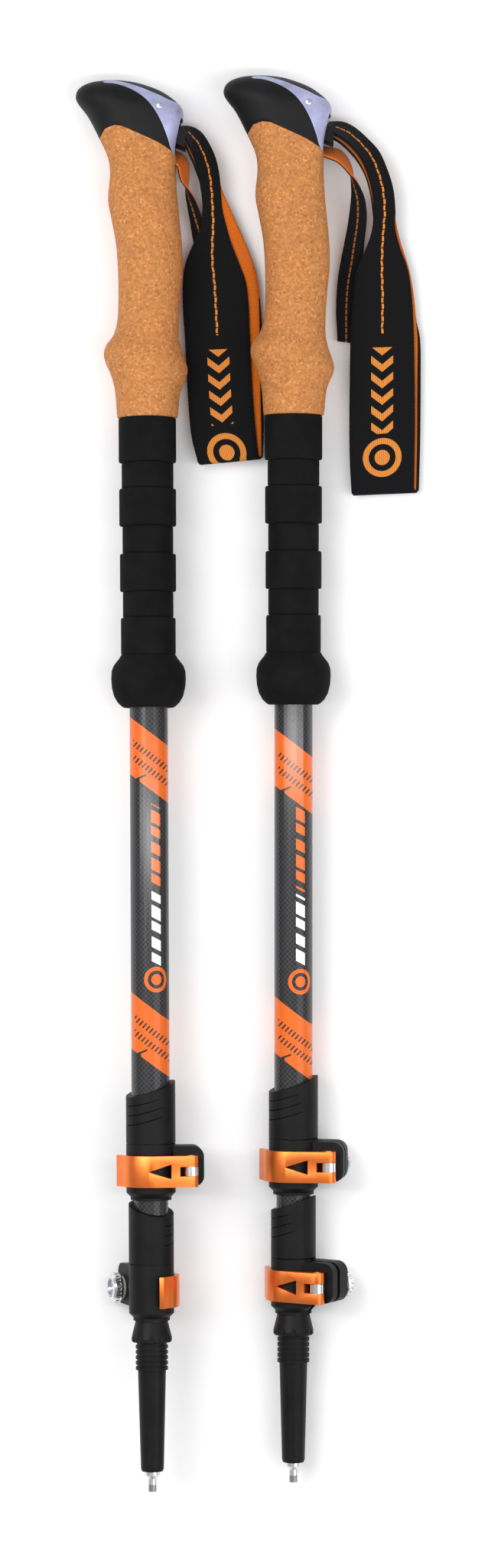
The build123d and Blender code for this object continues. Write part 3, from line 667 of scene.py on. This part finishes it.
def edge_height(x):
    for (x0, z0), (x1, z1) in zip(HEAD_EDGE, HEAD_EDGE[1:]):
        if x0 <= x <= x1:
            share = (x - x0) / (x1 - x0)
            return z0 + (z1 - z0) * share
    return HEAD_EDGE[-1][1]


def edge_place(rungs, turn):
    """Where the line round the grip at this turn crosses the edge of the head's skin."""
    low, high = 0.3, 0.95
    for _ in range(30):
        middle = (low + high) / 2
        point = grip_point(rungs, middle, turn)
        if point.z < edge_height(point.x):
            low = middle
        else:
            high = middle
    return low


def ring_at(rungs, places, proud=0.0, shrink=1.0, lift=0.0):
    ring = []
    for j, place in enumerate(places):
        turn = 2 * pi * j / len(places)
        ring.append(grip_point(rungs, place, turn, proud))
    centre = sum(ring, Vector()) / len(ring)
    return [(centre + (p - centre) * shrink + Vector((0, 0, lift))) * MM for p in ring]


def build_cork(side, material):
    rungs = grip_rungs()
    edges = [edge_place(rungs, 2 * pi * j / GRIP_AROUND) for j in range(GRIP_AROUND)]
    steps = 84
    zero = [0.0] * GRIP_AROUND
    rings = [ring_at(rungs, zero, shrink=0.66, lift=0.25), ring_at(rungs, zero, shrink=0.965, lift=0.05),
             ring_at(rungs, zero, shrink=0.992, lift=0.35)]
    for i in range(1, steps + 1):
        rings.append(ring_at(rungs, [e * i / steps for e in edges]))
    rings.append(ring_at(rungs, edges, shrink=0.80, lift=-0.2))
    bm = bmesh.new()
    grid = loft(bm, rings)
    cap(bm, grid[0])
    cap(bm, grid[-1])
    foot = Matrix.Translation((0, 0, stations(side, "cork_grip")[0]))
    piece = add_piece(f"{side}_cork", bm, [material], POLE[side] @ foot, sharp=60)
    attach(piece, TOP_BODY[side])
    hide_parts(f"{side}_cork_grip")
    return piece


def build_head(side, skin, inlay, metal, grip):
    rungs = grip_rungs()
    edges = [edge_place(rungs, 2 * pi * j / GRIP_AROUND) for j in range(GRIP_AROUND)]
    proud = grip.skin_proud / MM
    steps = 34
    rings = [ring_at(rungs, edges, shrink=0.72), ring_at(rungs, edges, proud - 0.35),
             ring_at(rungs, [e + 0.0006 for e in edges], proud - 0.05)]
    for i in range(1, steps + 1):
        rings.append(ring_at(rungs, [e + (1 - e) * i / steps for e in edges], proud))
    foot = POLE[side] @ Matrix.Translation((0, 0, stations(side, "cork_grip")[0]))
    bm = bmesh.new()
    grid = loft(bm, rings)
    cap(bm, grid[0])
    cap(bm, grid[-1])
    head = add_piece(f"{side}_head_skin", bm, [skin], foot, sharp=60)
    slot_tool = prism("slot_tool", SLOT, SLOT_HALF_WIDTH, foot)
    cut(head, slot_tool, "DIFFERENCE")
    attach(head, TOP_BODY[side])
    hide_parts(f"{side}_head_cover")

    places = [0.55 + 0.45 * i / 60 for i in range(61)]
    shells = [ring_at(rungs, [p] * GRIP_AROUND, proud + INLAY_PROUD) for p in places]
    bm = bmesh.new()
    grid = loft(bm, shells)
    cap(bm, grid[0])
    cap(bm, grid[-1])
    core = add_piece(f"{side}_head_inlay", bm, [inlay], foot, sharp=60)
    outline = smooth_path(INLAY_TOP, 6) + smooth_path(INLAY_BOTTOM, 6)
    cut(core, prism("inlay_tool", [(p.x, p.y) for p in outline], 40, foot), "INTERSECT")
    cut(core, prism("slot_tool", SLOT, SLOT_HALF_WIDTH, foot), "DIFFERENCE")
    soften(core, 0.00022)
    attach(core, TOP_BODY[side])
    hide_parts(f"{side}_grip_core")

    half = pin_surface(rungs) * MM
    bm = bmesh.new()
    for way in (-1, 1):
        turned = Matrix.Translation((STRAP_PIN[0] * MM, way * (half - 0.0010), STRAP_PIN[1] * MM))
        bmesh.ops.create_cone(bm, cap_ends=True, segments=24, radius1=PIN_END_RADIUS,
                              radius2=PIN_END_RADIUS, depth=PIN_END_LENGTH,
                              matrix=turned @ Matrix.Rotation(pi / 2, 4, "X"))
    pin = add_piece(f"{side}_strap_pin_ends", bm, [metal], foot)
    soften(pin, 0.00025)
    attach(pin, TOP_BODY[side])


def pin_surface(rungs):
    """Half width of the head where the strap pin comes out."""
    best = 0.0
    for i in range(200):
        for j in range(60):
            point = grip_point(rungs, 0.6 + 0.4 * i / 200, pi * j / 60)
            if abs(point.x - STRAP_PIN[0]) < 0.4 and abs(point.z - STRAP_PIN[1]) < 0.4:
                best = max(best, point.y)
    return best


def build_foam(side, material):
    """A turned profile: flared bell, then rings with rounded steps."""
    bm = bmesh.new()
    bore = reach(side, "upper_tube") / MM + 0.02
    profile = [(bore, 0.6)] + [(r, z) for z, r in BELL]
    for foot, top, radius in FOAM_BANDS:
        profile += [(radius - 0.35, foot + 0.15), (radius - 0.1, foot + 0.45), (radius, foot + 1.0)]
        profile += [(radius, (foot + top) / 2)]
        profile += [(radius, top - 1.0), (radius - 0.1, top - 0.45), (radius - 0.35, top - 0.15)]
    profile.append((bore, FOAM_BANDS[-1][1]))
    verts = [bm.verts.new((r * MM, 0, z * MM)) for r, z in profile]
    edges = [bm.edges.new(pair) for pair in zip(verts, verts[1:])]
    bmesh.ops.spin(bm, geom=verts + edges, cent=(0, 0, 0), axis=(0, 0, 1), angle=2 * pi, steps=96,
                   use_merge=True)
    foot = Matrix.Translation((0, 0, stations(side, "foam_grip")[0]))
    piece = add_piece(f"{side}_foam", bm, [material], POLE[side] @ foot, sharp=70)
    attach(piece, TOP_BODY[side])
    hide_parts(f"{side}_foam_grip")


# ---------------------------------------------------------------------------------------------
# Shafts
# ---------------------------------------------------------------------------------------------
def build_shaft(side, node, body, material):
    """A tube with UVs: arc from the side that faces up, and station along the pole, in metres."""
    low, high = stations(side, node)
    radius = reach(side, node)
    wall = 0.0007
    around = 96
    steps = 48
    heights = [low + (high - low) * i / steps for i in range(steps + 1)]
    turns = [2 * pi * j / around + pi / 2 for j in range(around)]

    def ring(r, z):
        return [Vector((r * cos(t), r * sin(t), z)) for t in turns]

    rings = [ring(radius - wall, low), ring(radius, low)] + [ring(radius, z) for z in heights[1:]]
    rings += [ring(radius - wall, high)]
    bm = bmesh.new()
    grid = loft(bm, rings)
    arcs = [(t + pi / 2 - 2 * pi) * radius for t in turns]
    arcs.append(arcs[-1] + 2 * pi / around * radius)
    lay_uv(bm, grid, arcs, [low, low, *heights[1:], high])
    bmesh.ops.bridge_loops(bm, edges=[e for e in bm.edges if e.is_boundary])
    piece = add_piece(f"{side}_{node}_shaft", bm, [material], POLE[side])
    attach(piece, body)
    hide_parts(f"{side}_{node}")


# ---------------------------------------------------------------------------------------------
# Straps: plan in millimetres above the foot of the cork, depth below the pole's axis
# ---------------------------------------------------------------------------------------------
# Each row: outer edge (x, station, depth), inner edge (x, station, depth), from the slot down.
RIGHT_TOP = [
    ((16.5, 138.4, 6.0), (15.5, 134.8, -5.6)), ((19.6, 138.7, 6.0), (18.4, 131.6, -5.2)),
    ((24.0, 138.4, 6.2), (22.6, 129.2, -4.2)), ((29.0, 136.0, 6.6), (26.2, 126.6, -2.6)),
    ((35.0, 131.0, 7.2), (30.2, 122.4, -0.6)), ((40.7, 124.9, 7.9), (32.8, 118.4, 1.6)),
    ((45.0, 115.6, 8.6), (35.2, 112.6, 4.0)), ((47.5, 106.9, 9.2), (37.1, 105.0, 6.4)),
    ((48.4, 97.5, 9.8), (37.8, 96.0, 8.4)), ((48.3, 89.5, 10.4), (36.9, 87.2, 10.0)),
    ((50.6, 80.2, 10.9), (33.6, 77.6, 11.2)), ((54.4, 69.8, 11.8), (29.6, 67.6, 11.9)),
    ((56.4, 56.0, 12.4), (28.3, 55.0, 12.4)), ((57.2, 40.0, 12.8), (27.2, 39.0, 12.8)),
    ((57.6, 20.0, 13.0), (26.8, 19.0, 13.0)), ((57.8, 0.0, 13.0), (26.6, -3.0, 13.0)),
    ((57.6, -18.0, 13.0), (26.8, -20.0, 13.0)), ((57.4, -33.0, 13.0), (27.6, -34.5, 13.0)),
]
RIGHT_UNDER = [
    ((16.0, 136.4, 6.0), (15.0, 133.0, -5.6)), ((19.2, 136.7, 6.0), (18.0, 129.8, -5.0)),
    ((23.2, 136.4, 6.4), (21.8, 127.4, -3.8)), ((27.8, 134.2, 7.0), (25.0, 124.9, -1.9)),
    ((33.6, 129.6, 7.9), (28.8, 121.0, 0.4)), ((39.2, 123.9, 9.0), (31.4, 117.4, 2.9)),
    ((43.8, 115.0, 10.0), (34.2, 112.0, 5.6)), ((46.6, 106.6, 10.8), (36.3, 104.6, 8.1)),
    ((48.0, 97.0, 11.6), (37.6, 95.6, 10.3)), ((49.2, 90.0, 12.3), (38.0, 87.4, 11.9)),
    ((51.6, 81.0, 12.9), (36.6, 79.0, 12.9)), ((54.8, 71.0, 13.6), (33.4, 69.0, 13.6)),
    ((57.0, 60.0, 14.2), (31.2, 58.0, 14.2)), ((58.6, 46.0, 14.6), (30.2, 44.0, 14.6)),
    ((60.4, 36.0, 14.9), (29.6, 32.0, 14.9)), ((60.6, 16.0, 15.0), (29.2, 10.0, 15.0)),
    ((60.4, -10.0, 15.0), (29.0, -14.0, 15.0)), ((59.8, -33.6, 14.8), (28.6, -34.8, 14.8)),
]
LEFT_TOP = [
    ((16.5, 138.6, 6.0), (15.4, 134.8, -5.6)), ((19.6, 138.8, 6.0), (18.3, 131.4, -5.2)),
    ((23.0, 138.0, 6.2), (20.0, 128.0, -4.2)), ((26.6, 135.4, 6.6), (21.4, 125.0, -2.6)),
    ((29.9, 130.4, 7.2), (22.7, 121.6, -0.6)), ((32.8, 124.2, 7.8), (23.9, 117.4, 1.6)),
    ((34.5, 117.2, 8.5), (25.0, 112.6, 4.0)), ((35.2, 109.6, 9.1), (26.0, 106.4, 6.4)),
    ((35.8, 101.0, 9.8), (26.4, 99.0, 8.4)), ((37.4, 93.6, 10.4), (25.4, 91.6, 10.0)),
    ((39.9, 84.6, 10.9), (22.1, 84.4, 10.9)), ((43.8, 74.6, 11.8), (18.2, 75.0, 11.9)),
    ((46.8, 66.0, 12.4), (16.9, 66.0, 12.4)), ((48.1, 54.0, 12.8), (16.9, 53.0, 12.8)),
    ((48.6, 38.0, 13.0), (17.9, 37.0, 13.0)), ((49.6, 15.0, 13.0), (18.9, 13.0, 13.0)),
    ((50.9, -3.0, 13.0), (20.4, -6.0, 13.0)), ((52.2, -15.6, 13.0), (23.2, -18.2, 13.0)),
]
LEFT_UNDER = [
    ((16.0, 136.6, 6.0), (15.0, 133.0, -5.6)), ((19.2, 136.9, 6.0), (17.9, 129.6, -5.0)),
    ((22.3, 135.8, 6.4), (19.4, 126.2, -3.8)), ((25.6, 133.2, 7.0), (20.9, 123.2, -1.8)),
    ((28.9, 128.4, 7.8), (22.4, 119.8, 0.4)), ((31.9, 122.2, 8.7), (23.8, 115.8, 2.9)),
    ((34.2, 115.2, 9.6), (25.4, 111.4, 5.5)), ((36.4, 107.8, 10.5), (27.2, 105.4, 8.1)),
    ((39.8, 100.4, 11.3), (28.4, 98.4, 10.2)), ((43.9, 91.0, 12.1), (28.4, 90.2, 11.9)),
    ((48.4, 80.2, 12.9), (27.4, 80.0, 13.1)), ((52.0, 69.0, 13.6), (25.6, 68.0, 13.9)),
    ((53.6, 56.0, 14.4), (24.4, 55.0, 14.4)), ((54.4, 42.0, 14.8), (23.8, 40.0, 14.8)),
    ((54.6, 26.0, 15.0), (23.6, 24.0, 15.0)), ((54.8, 10.0, 15.0), (23.8, 8.0, 15.0)),
    ((54.9, -4.0, 15.0), (24.4, -8.0, 15.0)), ((54.4, -16.0, 14.8), (25.0, -18.6, 14.8)),
]
RIGHT_TAIL = [
    ((13.0, 121.4, -5.8), (13.6, 127.2, 5.4)), ((17.0, 120.0, -5.6), (17.4, 126.2, 5.4)),
    ((20.8, 118.4, -5.0), (21.6, 125.4, 5.6)), ((24.2, 115.6, -3.6), (25.2, 121.8, 6.0)),
    ((26.8, 112.8, -1.6), (27.4, 116.4, 6.6)), ((29.0, 111.0, 1.0), (27.6, 111.4, 7.4)),
    ((31.6, 107.6, 4.6), (27.4, 107.0, 8.6)), ((34.0, 102.4, 8.4), (27.1, 101.6, 10.2)),
    ((34.9, 94.0, 12.0), (26.0, 92.6, 12.2)), ((33.9, 84.0, 14.2), (24.4, 83.6, 14.2)),
    ((33.0, 74.0, 15.6), (22.6, 74.6, 15.6)), ((30.9, 62.0, 16.2), (20.9, 63.0, 16.2)),
    ((30.0, 50.0, 16.4), (20.4, 50.4, 16.4)), ((29.6, 42.0, 16.4), (20.8, 42.0, 16.4)),
    ((29.4, 35.4, 16.4), (21.0, 36.4, 16.4)),
]
LEFT_TAIL = [
    ((12.6, 119.6, -5.8), (13.2, 127.0, 5.4)), ((15.2, 117.6, -5.4), (16.4, 125.8, 5.4)),
    ((16.0, 113.8, -4.4), (19.0, 123.0, 5.6)), ((17.0, 111.0, -3.0), (20.0, 118.0, 6.0)),
    ((18.6, 109.4, -0.6), (19.4, 112.4, 6.8)), ((21.0, 106.8, 2.6), (18.8, 107.4, 8.0)),
    ((23.6, 102.8, 6.4), (19.2, 101.6, 9.8)), ((26.0, 96.8, 10.0), (20.4, 94.6, 11.8)),
    ((28.6, 90.0, 12.6), (21.6, 87.0, 13.4)), ((30.6, 81.0, 14.6), (22.8, 78.4, 14.8)),
    ((31.6, 71.0, 15.8), (23.4, 69.0, 15.8)), ((31.8, 60.0, 16.2), (23.4, 59.0, 16.2)),
    ((31.8, 50.0, 16.3), (23.4, 49.4, 16.3)), ((31.8, 39.0, 16.3), (23.4, 38.6, 16.3)),
]
# Stations of the end of the stitching, both ends of the woven chevrons, and the middle of the ring.
MARKS = {"left": (40.0, 31.0, -4.0, -15.5), "right": (38.5, 30.5, -8.0, -20.0)}
LAYERS = {"left": (LEFT_TOP, LEFT_UNDER, LEFT_TAIL), "right": (RIGHT_TOP, RIGHT_UNDER, RIGHT_TAIL)}
TAPE_COLUMNS = 12
TAPE_STEPS = 6


def tape_rows(rows):
    """Fine rows of a tape, outer and inner edge in metres; depth becomes the pole's own Y."""
    fine = smooth_path([(*outer, *inner) for outer, inner in rows], TAPE_STEPS)
    return [(Vector((r[0], r[2], r[1])) * MM, Vector((r[3], r[5], r[4])) * MM) for r in fine]


def fold_rows(upper, lower, thickness):
    """A half turn of tape between the ends of two layers."""
    out = []
    turns = 7
    for k in range(1, turns):
        share = k / turns
        swing = sin(pi * share)
        pair = []
        for a, b in zip(upper, lower):
            middle = a.lerp(b, (1 - cos(pi * share)) / 2)
            pair.append(middle - Vector((0, 0, (abs(b.y - a.y) / 2 + thickness) * swing)))
        out.append(tuple(pair))
    return out


def tape_piece(name, side, rows, thickness, materials):
    """A closed tape: two faces, two edges and two ends, with UVs across and along in metres."""
    bm = bmesh.new()
    rings = []
    travelled = [0.0]
    centres = [(a + b) / 2 for a, b in rows]
    for i, (outer, inner) in enumerate(rows):
        ahead = centres[min(i + 1, len(rows) - 1)] - centres[max(i - 1, 0)]
        across = inner - outer
        normal = across.cross(ahead).normalized() * (thickness / 2)
        points = [outer.lerp(inner, c / TAPE_COLUMNS) for c in range(TAPE_COLUMNS + 1)]
        trim = across.normalized() * thickness * 0.3
        top = [p + normal for p in points]
        bottom = [p - normal for p in points]
        top[0] += trim
        top[-1] -= trim
        bottom[0] += trim
        bottom[-1] -= trim
        rings.append(top + [inner] + bottom[::-1] + [outer])
        if i:
            travelled.append(travelled[-1] + (centres[i] - centres[i - 1]).length)
    grid = loft(bm, rings)
    uv = bm.loops.layers.uv.new("surface")
    columns = TAPE_COLUMNS + 1
    share = [c / TAPE_COLUMNS - 0.5 for c in range(columns)]
    places = share + [0.5] + share[::-1] + [-0.5]
    for i, j, face, corners in grid_faces(bm, grid):
        k = (j + 1) % len(places)
        spans = ((i, j), (i, k), (i + 1, k), (i + 1, j))
        values = {}
        for vert, (row, column) in zip(corners, spans):
            wide = (rows[row][1] - rows[row][0]).length
            values[vert] = (places[column] * wide, travelled[row])
        for loop in face.loops:
            loop[uv].uv = values[loop.vert]
        face.material_index = 1 if columns < j < 2 * columns + 1 else 0
    cap(bm, grid[0])
    cap(bm, grid[-1])
    foot = Matrix.Translation((0, 0, stations(side, "cork_grip")[0]))
    piece = add_piece(name, bm, materials, POLE[side] @ foot, sharp=60)
    return piece, travelled


def run_at(rows, station):
    """Length along the middle of a tape from its first row to where it first reaches a station."""
    centres = [(a + b) / 2 for a, b in rows]
    run = 0.0
    for here, ahead in zip(centres, centres[1:]):
        if ahead.z < station * MM:
            return run
        run += (ahead - here).length
    return run


def build_strap(side, inside, strap):
    top, under, tail = LAYERS[side]
    thick = strap.thickness
    upper = tape_rows(top)
    marks = [run_at(upper, station) for station in MARKS[side]]
    outside = webbing_finish(f"{side}_webbing", strap, strap.webbing, WEBBING_WIDTH,
                             outer_marks(0.004, *marks))
    tail_face = webbing_finish(f"{side}_tail_webbing", strap, strap.webbing, WEBBING_WIDTH, tail_marks)
    lower = tape_rows(under)
    rows = upper + fold_rows(upper[-1], lower[-1], thick * 0.5) + lower[::-1]
    loop_piece, travelled = tape_piece(f"{side}_strap_loop", side, rows, thick, [outside, inside])
    tail_rows = tape_rows(tail)
    tail_piece, tail_run = tape_piece(f"{side}_strap_tail", side, tail_rows, thick, [tail_face, inside])
    for piece in (loop_piece, tail_piece):
        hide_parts(f"{side}_wrist_strap")
        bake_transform(piece)


# ---------------------------------------------------------------------------------------------
# Operators
# ---------------------------------------------------------------------------------------------
def eased(side, name, body, material, width):
    """A clamp part with its edges rounded over."""
    bm = bmesh.new()
    bm.from_mesh(frame["nodes"][f"{side}_{name}"].data)
    bmesh.ops.remove_doubles(bm, verts=bm.verts, dist=0.000002)
    bmesh.ops.dissolve_limit(bm, angle_limit=radians(0.5), verts=bm.verts, edges=bm.edges)
    piece = add_piece(f"{side}_{name}_eased", bm, [material])
    soften(piece, width, angle=40, segments=3)
    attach(piece, body)
    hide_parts(f"{side}_{name}")
    return piece


def paint(node, material):
    data = frame["nodes"][node].data
    data.materials.clear()
    data.materials.append(material)


class POLES_OT_grips(bpy.types.Operator):
    """Cork grips, skinned heads with their inlay, and foam lower grips"""
    bl_idname = "poles.grips"
    bl_label = "Grips"

    def execute(self, context):
        settings = context.scene.trekking_poles
        grip = settings.grip
        cork = cork_finish(grip)
        skin = soft_finish("head_skin", grip.skin, 0.55, 2600, 0.00003, 0.16)
        inlay = soft_finish("lilac_plastic", grip.inlay, 0.38, 1800, 0.00001, 0.4)
        foam = soft_finish("foam", grip.foam, 0.85, 1500, 0.00008, 0.08)
        metal = metal_finish("pin_metal", settings.clamp.metal, 0.25, 4000)
        for side in SIDES:
            build_cork(side, cork)
            build_head(side, skin, inlay, metal, grip)
            build_foam(side, foam)
            paint(f"{side}_strap_pin", metal)
        return {"FINISHED"}


class POLES_OT_shafts(bpy.types.Operator):
    """Carbon tubes with their painted bands and marks"""
    bl_idname = "poles.shafts"
    bl_label = "Shafts"

    def execute(self, context):
        settings = context.scene.trekking_poles
        plain = carbon_finish(settings.shaft)
        plastic = soft_finish("guide_plastic", settings.clamp.plastic, 0.45, 1500, 0.00003, 0.14)
        for side in SIDES:
            foam = stations(side, "foam_grip")[0]
            shift = PAINT_SHIFT[side]
            upper, lower = foam + shift, foam + shift * 0.6
            print_from = foam + shift * 0.4
            bands = [(upper - 0.0112, upper - 0.0380), (lower - 0.1400, lower - 0.1665)]
            marks = [print_from - below for below in PAINT_MARKS]
            painted = painted_shaft_finish(settings.shaft, bands, marks)
            build_shaft(side, "upper_tube", TOP_BODY[side], painted)
            build_shaft(side, "middle_tube", f"{side}_middle", plain)
            build_shaft(side, "lower_tube", f"{side}_lower", plain)
            paint(f"{side}_middle_tube_plug", plastic)
            paint(f"{side}_lower_tube_plug", plastic)
        return {"FINISHED"}


class POLES_OT_clamps(bpy.types.Operator):
    """Finishes of the lever clamps, upper and lower"""
    bl_idname = "poles.clamps"
    bl_label = "Clamps"

    def execute(self, context):
        clamp = context.scene.trekking_poles.clamp
        plastic = soft_finish("collar_plastic", clamp.plastic, 0.5, 1800, 0.00003, 0.14)
        metal = metal_finish("nut_metal", clamp.metal, 0.24, 5000)
        lever = lever_finish(clamp)
        washer = washer_finish(clamp)
        finishes = {"collar": plastic, "bushing": plastic, "lever_pin": metal, "screw": metal,
                    "washer": washer, "thumb_nut": metal}
        for side in SIDES:
            for level in LEVELS:
                for piece, finish in finishes.items():
                    paint(f"{side}_{level}_clamp_{piece}", finish)
                handle = eased(side, f"{level}_clamp_lever", f"{side}_{level}_lever", lever, 0.00045)
        return {"FINISHED"}


class POLES_OT_tips(bpy.types.Operator):
    """Finishes of the ferrules, tip holders and carbide tips"""
    bl_idname = "poles.tips"
    bl_label = "Tips"

    def execute(self, context):
        clamp = context.scene.trekking_poles.clamp
        plastic = soft_finish("ferrule_plastic", clamp.plastic, 0.46, 1400, 0.00003, 0.14)
        holder = metal_finish("holder_metal", clamp.metal, 0.3, 4000)
        carbide = metal_finish("carbide", [c * 0.45 for c in clamp.metal], 0.38, 3000)
        for side in SIDES:
            paint(f"{side}_tip_ferrule", plastic)
            paint(f"{side}_tip_holder", holder)
            paint(f"{side}_carbide_tip", carbide)
        return {"FINISHED"}


class POLES_OT_straps(bpy.types.Operator):
    """Wrist straps of lined webbing, with their free tails, and the wedges that hold them"""
    bl_idname = "poles.straps"
    bl_label = "Straps"

    def execute(self, context):
        settings = context.scene.trekking_poles
        strap = settings.strap
        lining = webbing_finish("webbing_lining", strap, strap.lining, WEBBING_WIDTH)
        wedge = soft_finish("wedge_plastic", settings.clamp.plastic, 0.45, 1500, 0.00003, 0.14)
        for side in SIDES:
            build_strap(side, lining, strap)
            paint(f"{side}_strap_wedge", wedge)
        return {"FINISHED"}


# Name, place in metres, size of the panel in metres, power in watts. All of them face the middle.
LIGHTS = [("key", (-0.9, 0.5, 1.5), (1.0, 1.0), 15), ("fill", (1.1, -0.4, 1.3), (1.2, 1.2), 8),
          ("streak_left", (-0.30, 0.0, 0.9), (0.05, 1.6), 3),
          ("streak_right", (0.34, 0.0, 0.9), (0.05, 1.6), 3)]
SKY_STRENGTH = 0.42
EYE_ASIDE = (0.0008, -0.0009)
PAIR_HALF_HEIGHT = 0.02


def add_light(name, place, size, power):
    data = bpy.data.lights.new(name, "AREA")
    data.shape = "RECTANGLE"
    data.size, data.size_y = size
    data.energy = power
    lamp = bpy.data.objects.new(name, data)
    lamp.location = place
    lamp.rotation_euler = (-Vector(place)).to_track_quat("-Z", "Y").to_euler()
    bpy.context.scene.collection.objects.link(lamp)


class POLES_OT_stage(bpy.types.Operator):
    """Pale floor, soft lights and the camera above the pair"""
    bl_idname = "poles.stage"
    bl_label = "Stage"

    def execute(self, context):
        stage = context.scene.trekking_poles.stage
        scene = context.scene
        bm = bmesh.new()
        bmesh.ops.create_grid(bm, x_segments=1, y_segments=1, size=3.0)
        f = Finish("floor")
        cloud = f.noise(f.place(), 3, 2)
        f.set(Base_Color=f.mix(cloud, [c * 0.99 for c in stage.floor], stage.floor), Roughness=0.9,
              Specular_IOR_Level=0.1)
        floor = add_piece("floor", bm, [f.material])
        scene.world = bpy.data.worlds.new("studio")
        scene.world.use_nodes = True
        background = scene.world.node_tree.nodes["Background"]
        background.inputs["Color"].default_value = (1.0, 1.0, 1.0, 1)
        background.inputs["Strength"].default_value = SKY_STRENGTH
        for name, place, size, power in LIGHTS:
            add_light(name, place, size, power)
        camera = bpy.data.cameras.new("camera")
        camera.sensor_fit = "VERTICAL"
        camera.sensor_height = 24
        camera.lens = camera.sensor_height * stage.camera_distance / stage.view_height
        eye = bpy.data.objects.new("camera", camera)
        eye.location = (*EYE_ASIDE, stage.camera_distance + PAIR_HALF_HEIGHT)
        scene.collection.objects.link(eye)
        scene.camera = eye
        scene.view_settings.view_transform = "Standard"
        return {"FINISHED"}


class POLES_PT_sidebar(bpy.types.Panel):
    """The parts of the pair and their sizes and colours"""
    bl_label = "Trekking Poles"
    bl_idname = "POLES_PT_sidebar"
    bl_space_type = "VIEW_3D"
    bl_region_type = "UI"
    bl_category = "Trekking Poles"

    def draw(self, context):
        layout = self.layout
        settings = context.scene.trekking_poles
        for operator in OPERATORS:
            layout.operator(operator.bl_idname)
        for group in (settings.grip, settings.shaft, settings.clamp, settings.strap, settings.stage):
            box = layout.box()
            for name in group.bl_rna.properties.keys():
                if name not in ("rna_type", "name"):
                    box.prop(group, name)


OPERATORS = (POLES_OT_stage, POLES_OT_grips, POLES_OT_shafts, POLES_OT_clamps, POLES_OT_tips,
             POLES_OT_straps)
CLASSES = (PoleGripSettings, PoleShaftSettings, PoleClampSettings, PoleStrapSettings, PoleStageSettings,
           PoleSettings, *OPERATORS, POLES_PT_sidebar)


def register():
    for cls in CLASSES:
        bpy.utils.register_class(cls)
    bpy.types.Scene.trekking_poles = PointerProperty(type=PoleSettings)


def unregister():
    del bpy.types.Scene.trekking_poles
    for cls in reversed(CLASSES):
        bpy.utils.unregister_class(cls)


def main():
    register()
    bpy.ops.poles.stage()
    bpy.ops.poles.grips()
    bpy.ops.poles.shafts()
    bpy.ops.poles.clamps()
    bpy.ops.poles.tips()
    bpy.ops.poles.straps()
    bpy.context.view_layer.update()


if __name__ == "__main__":
    main()
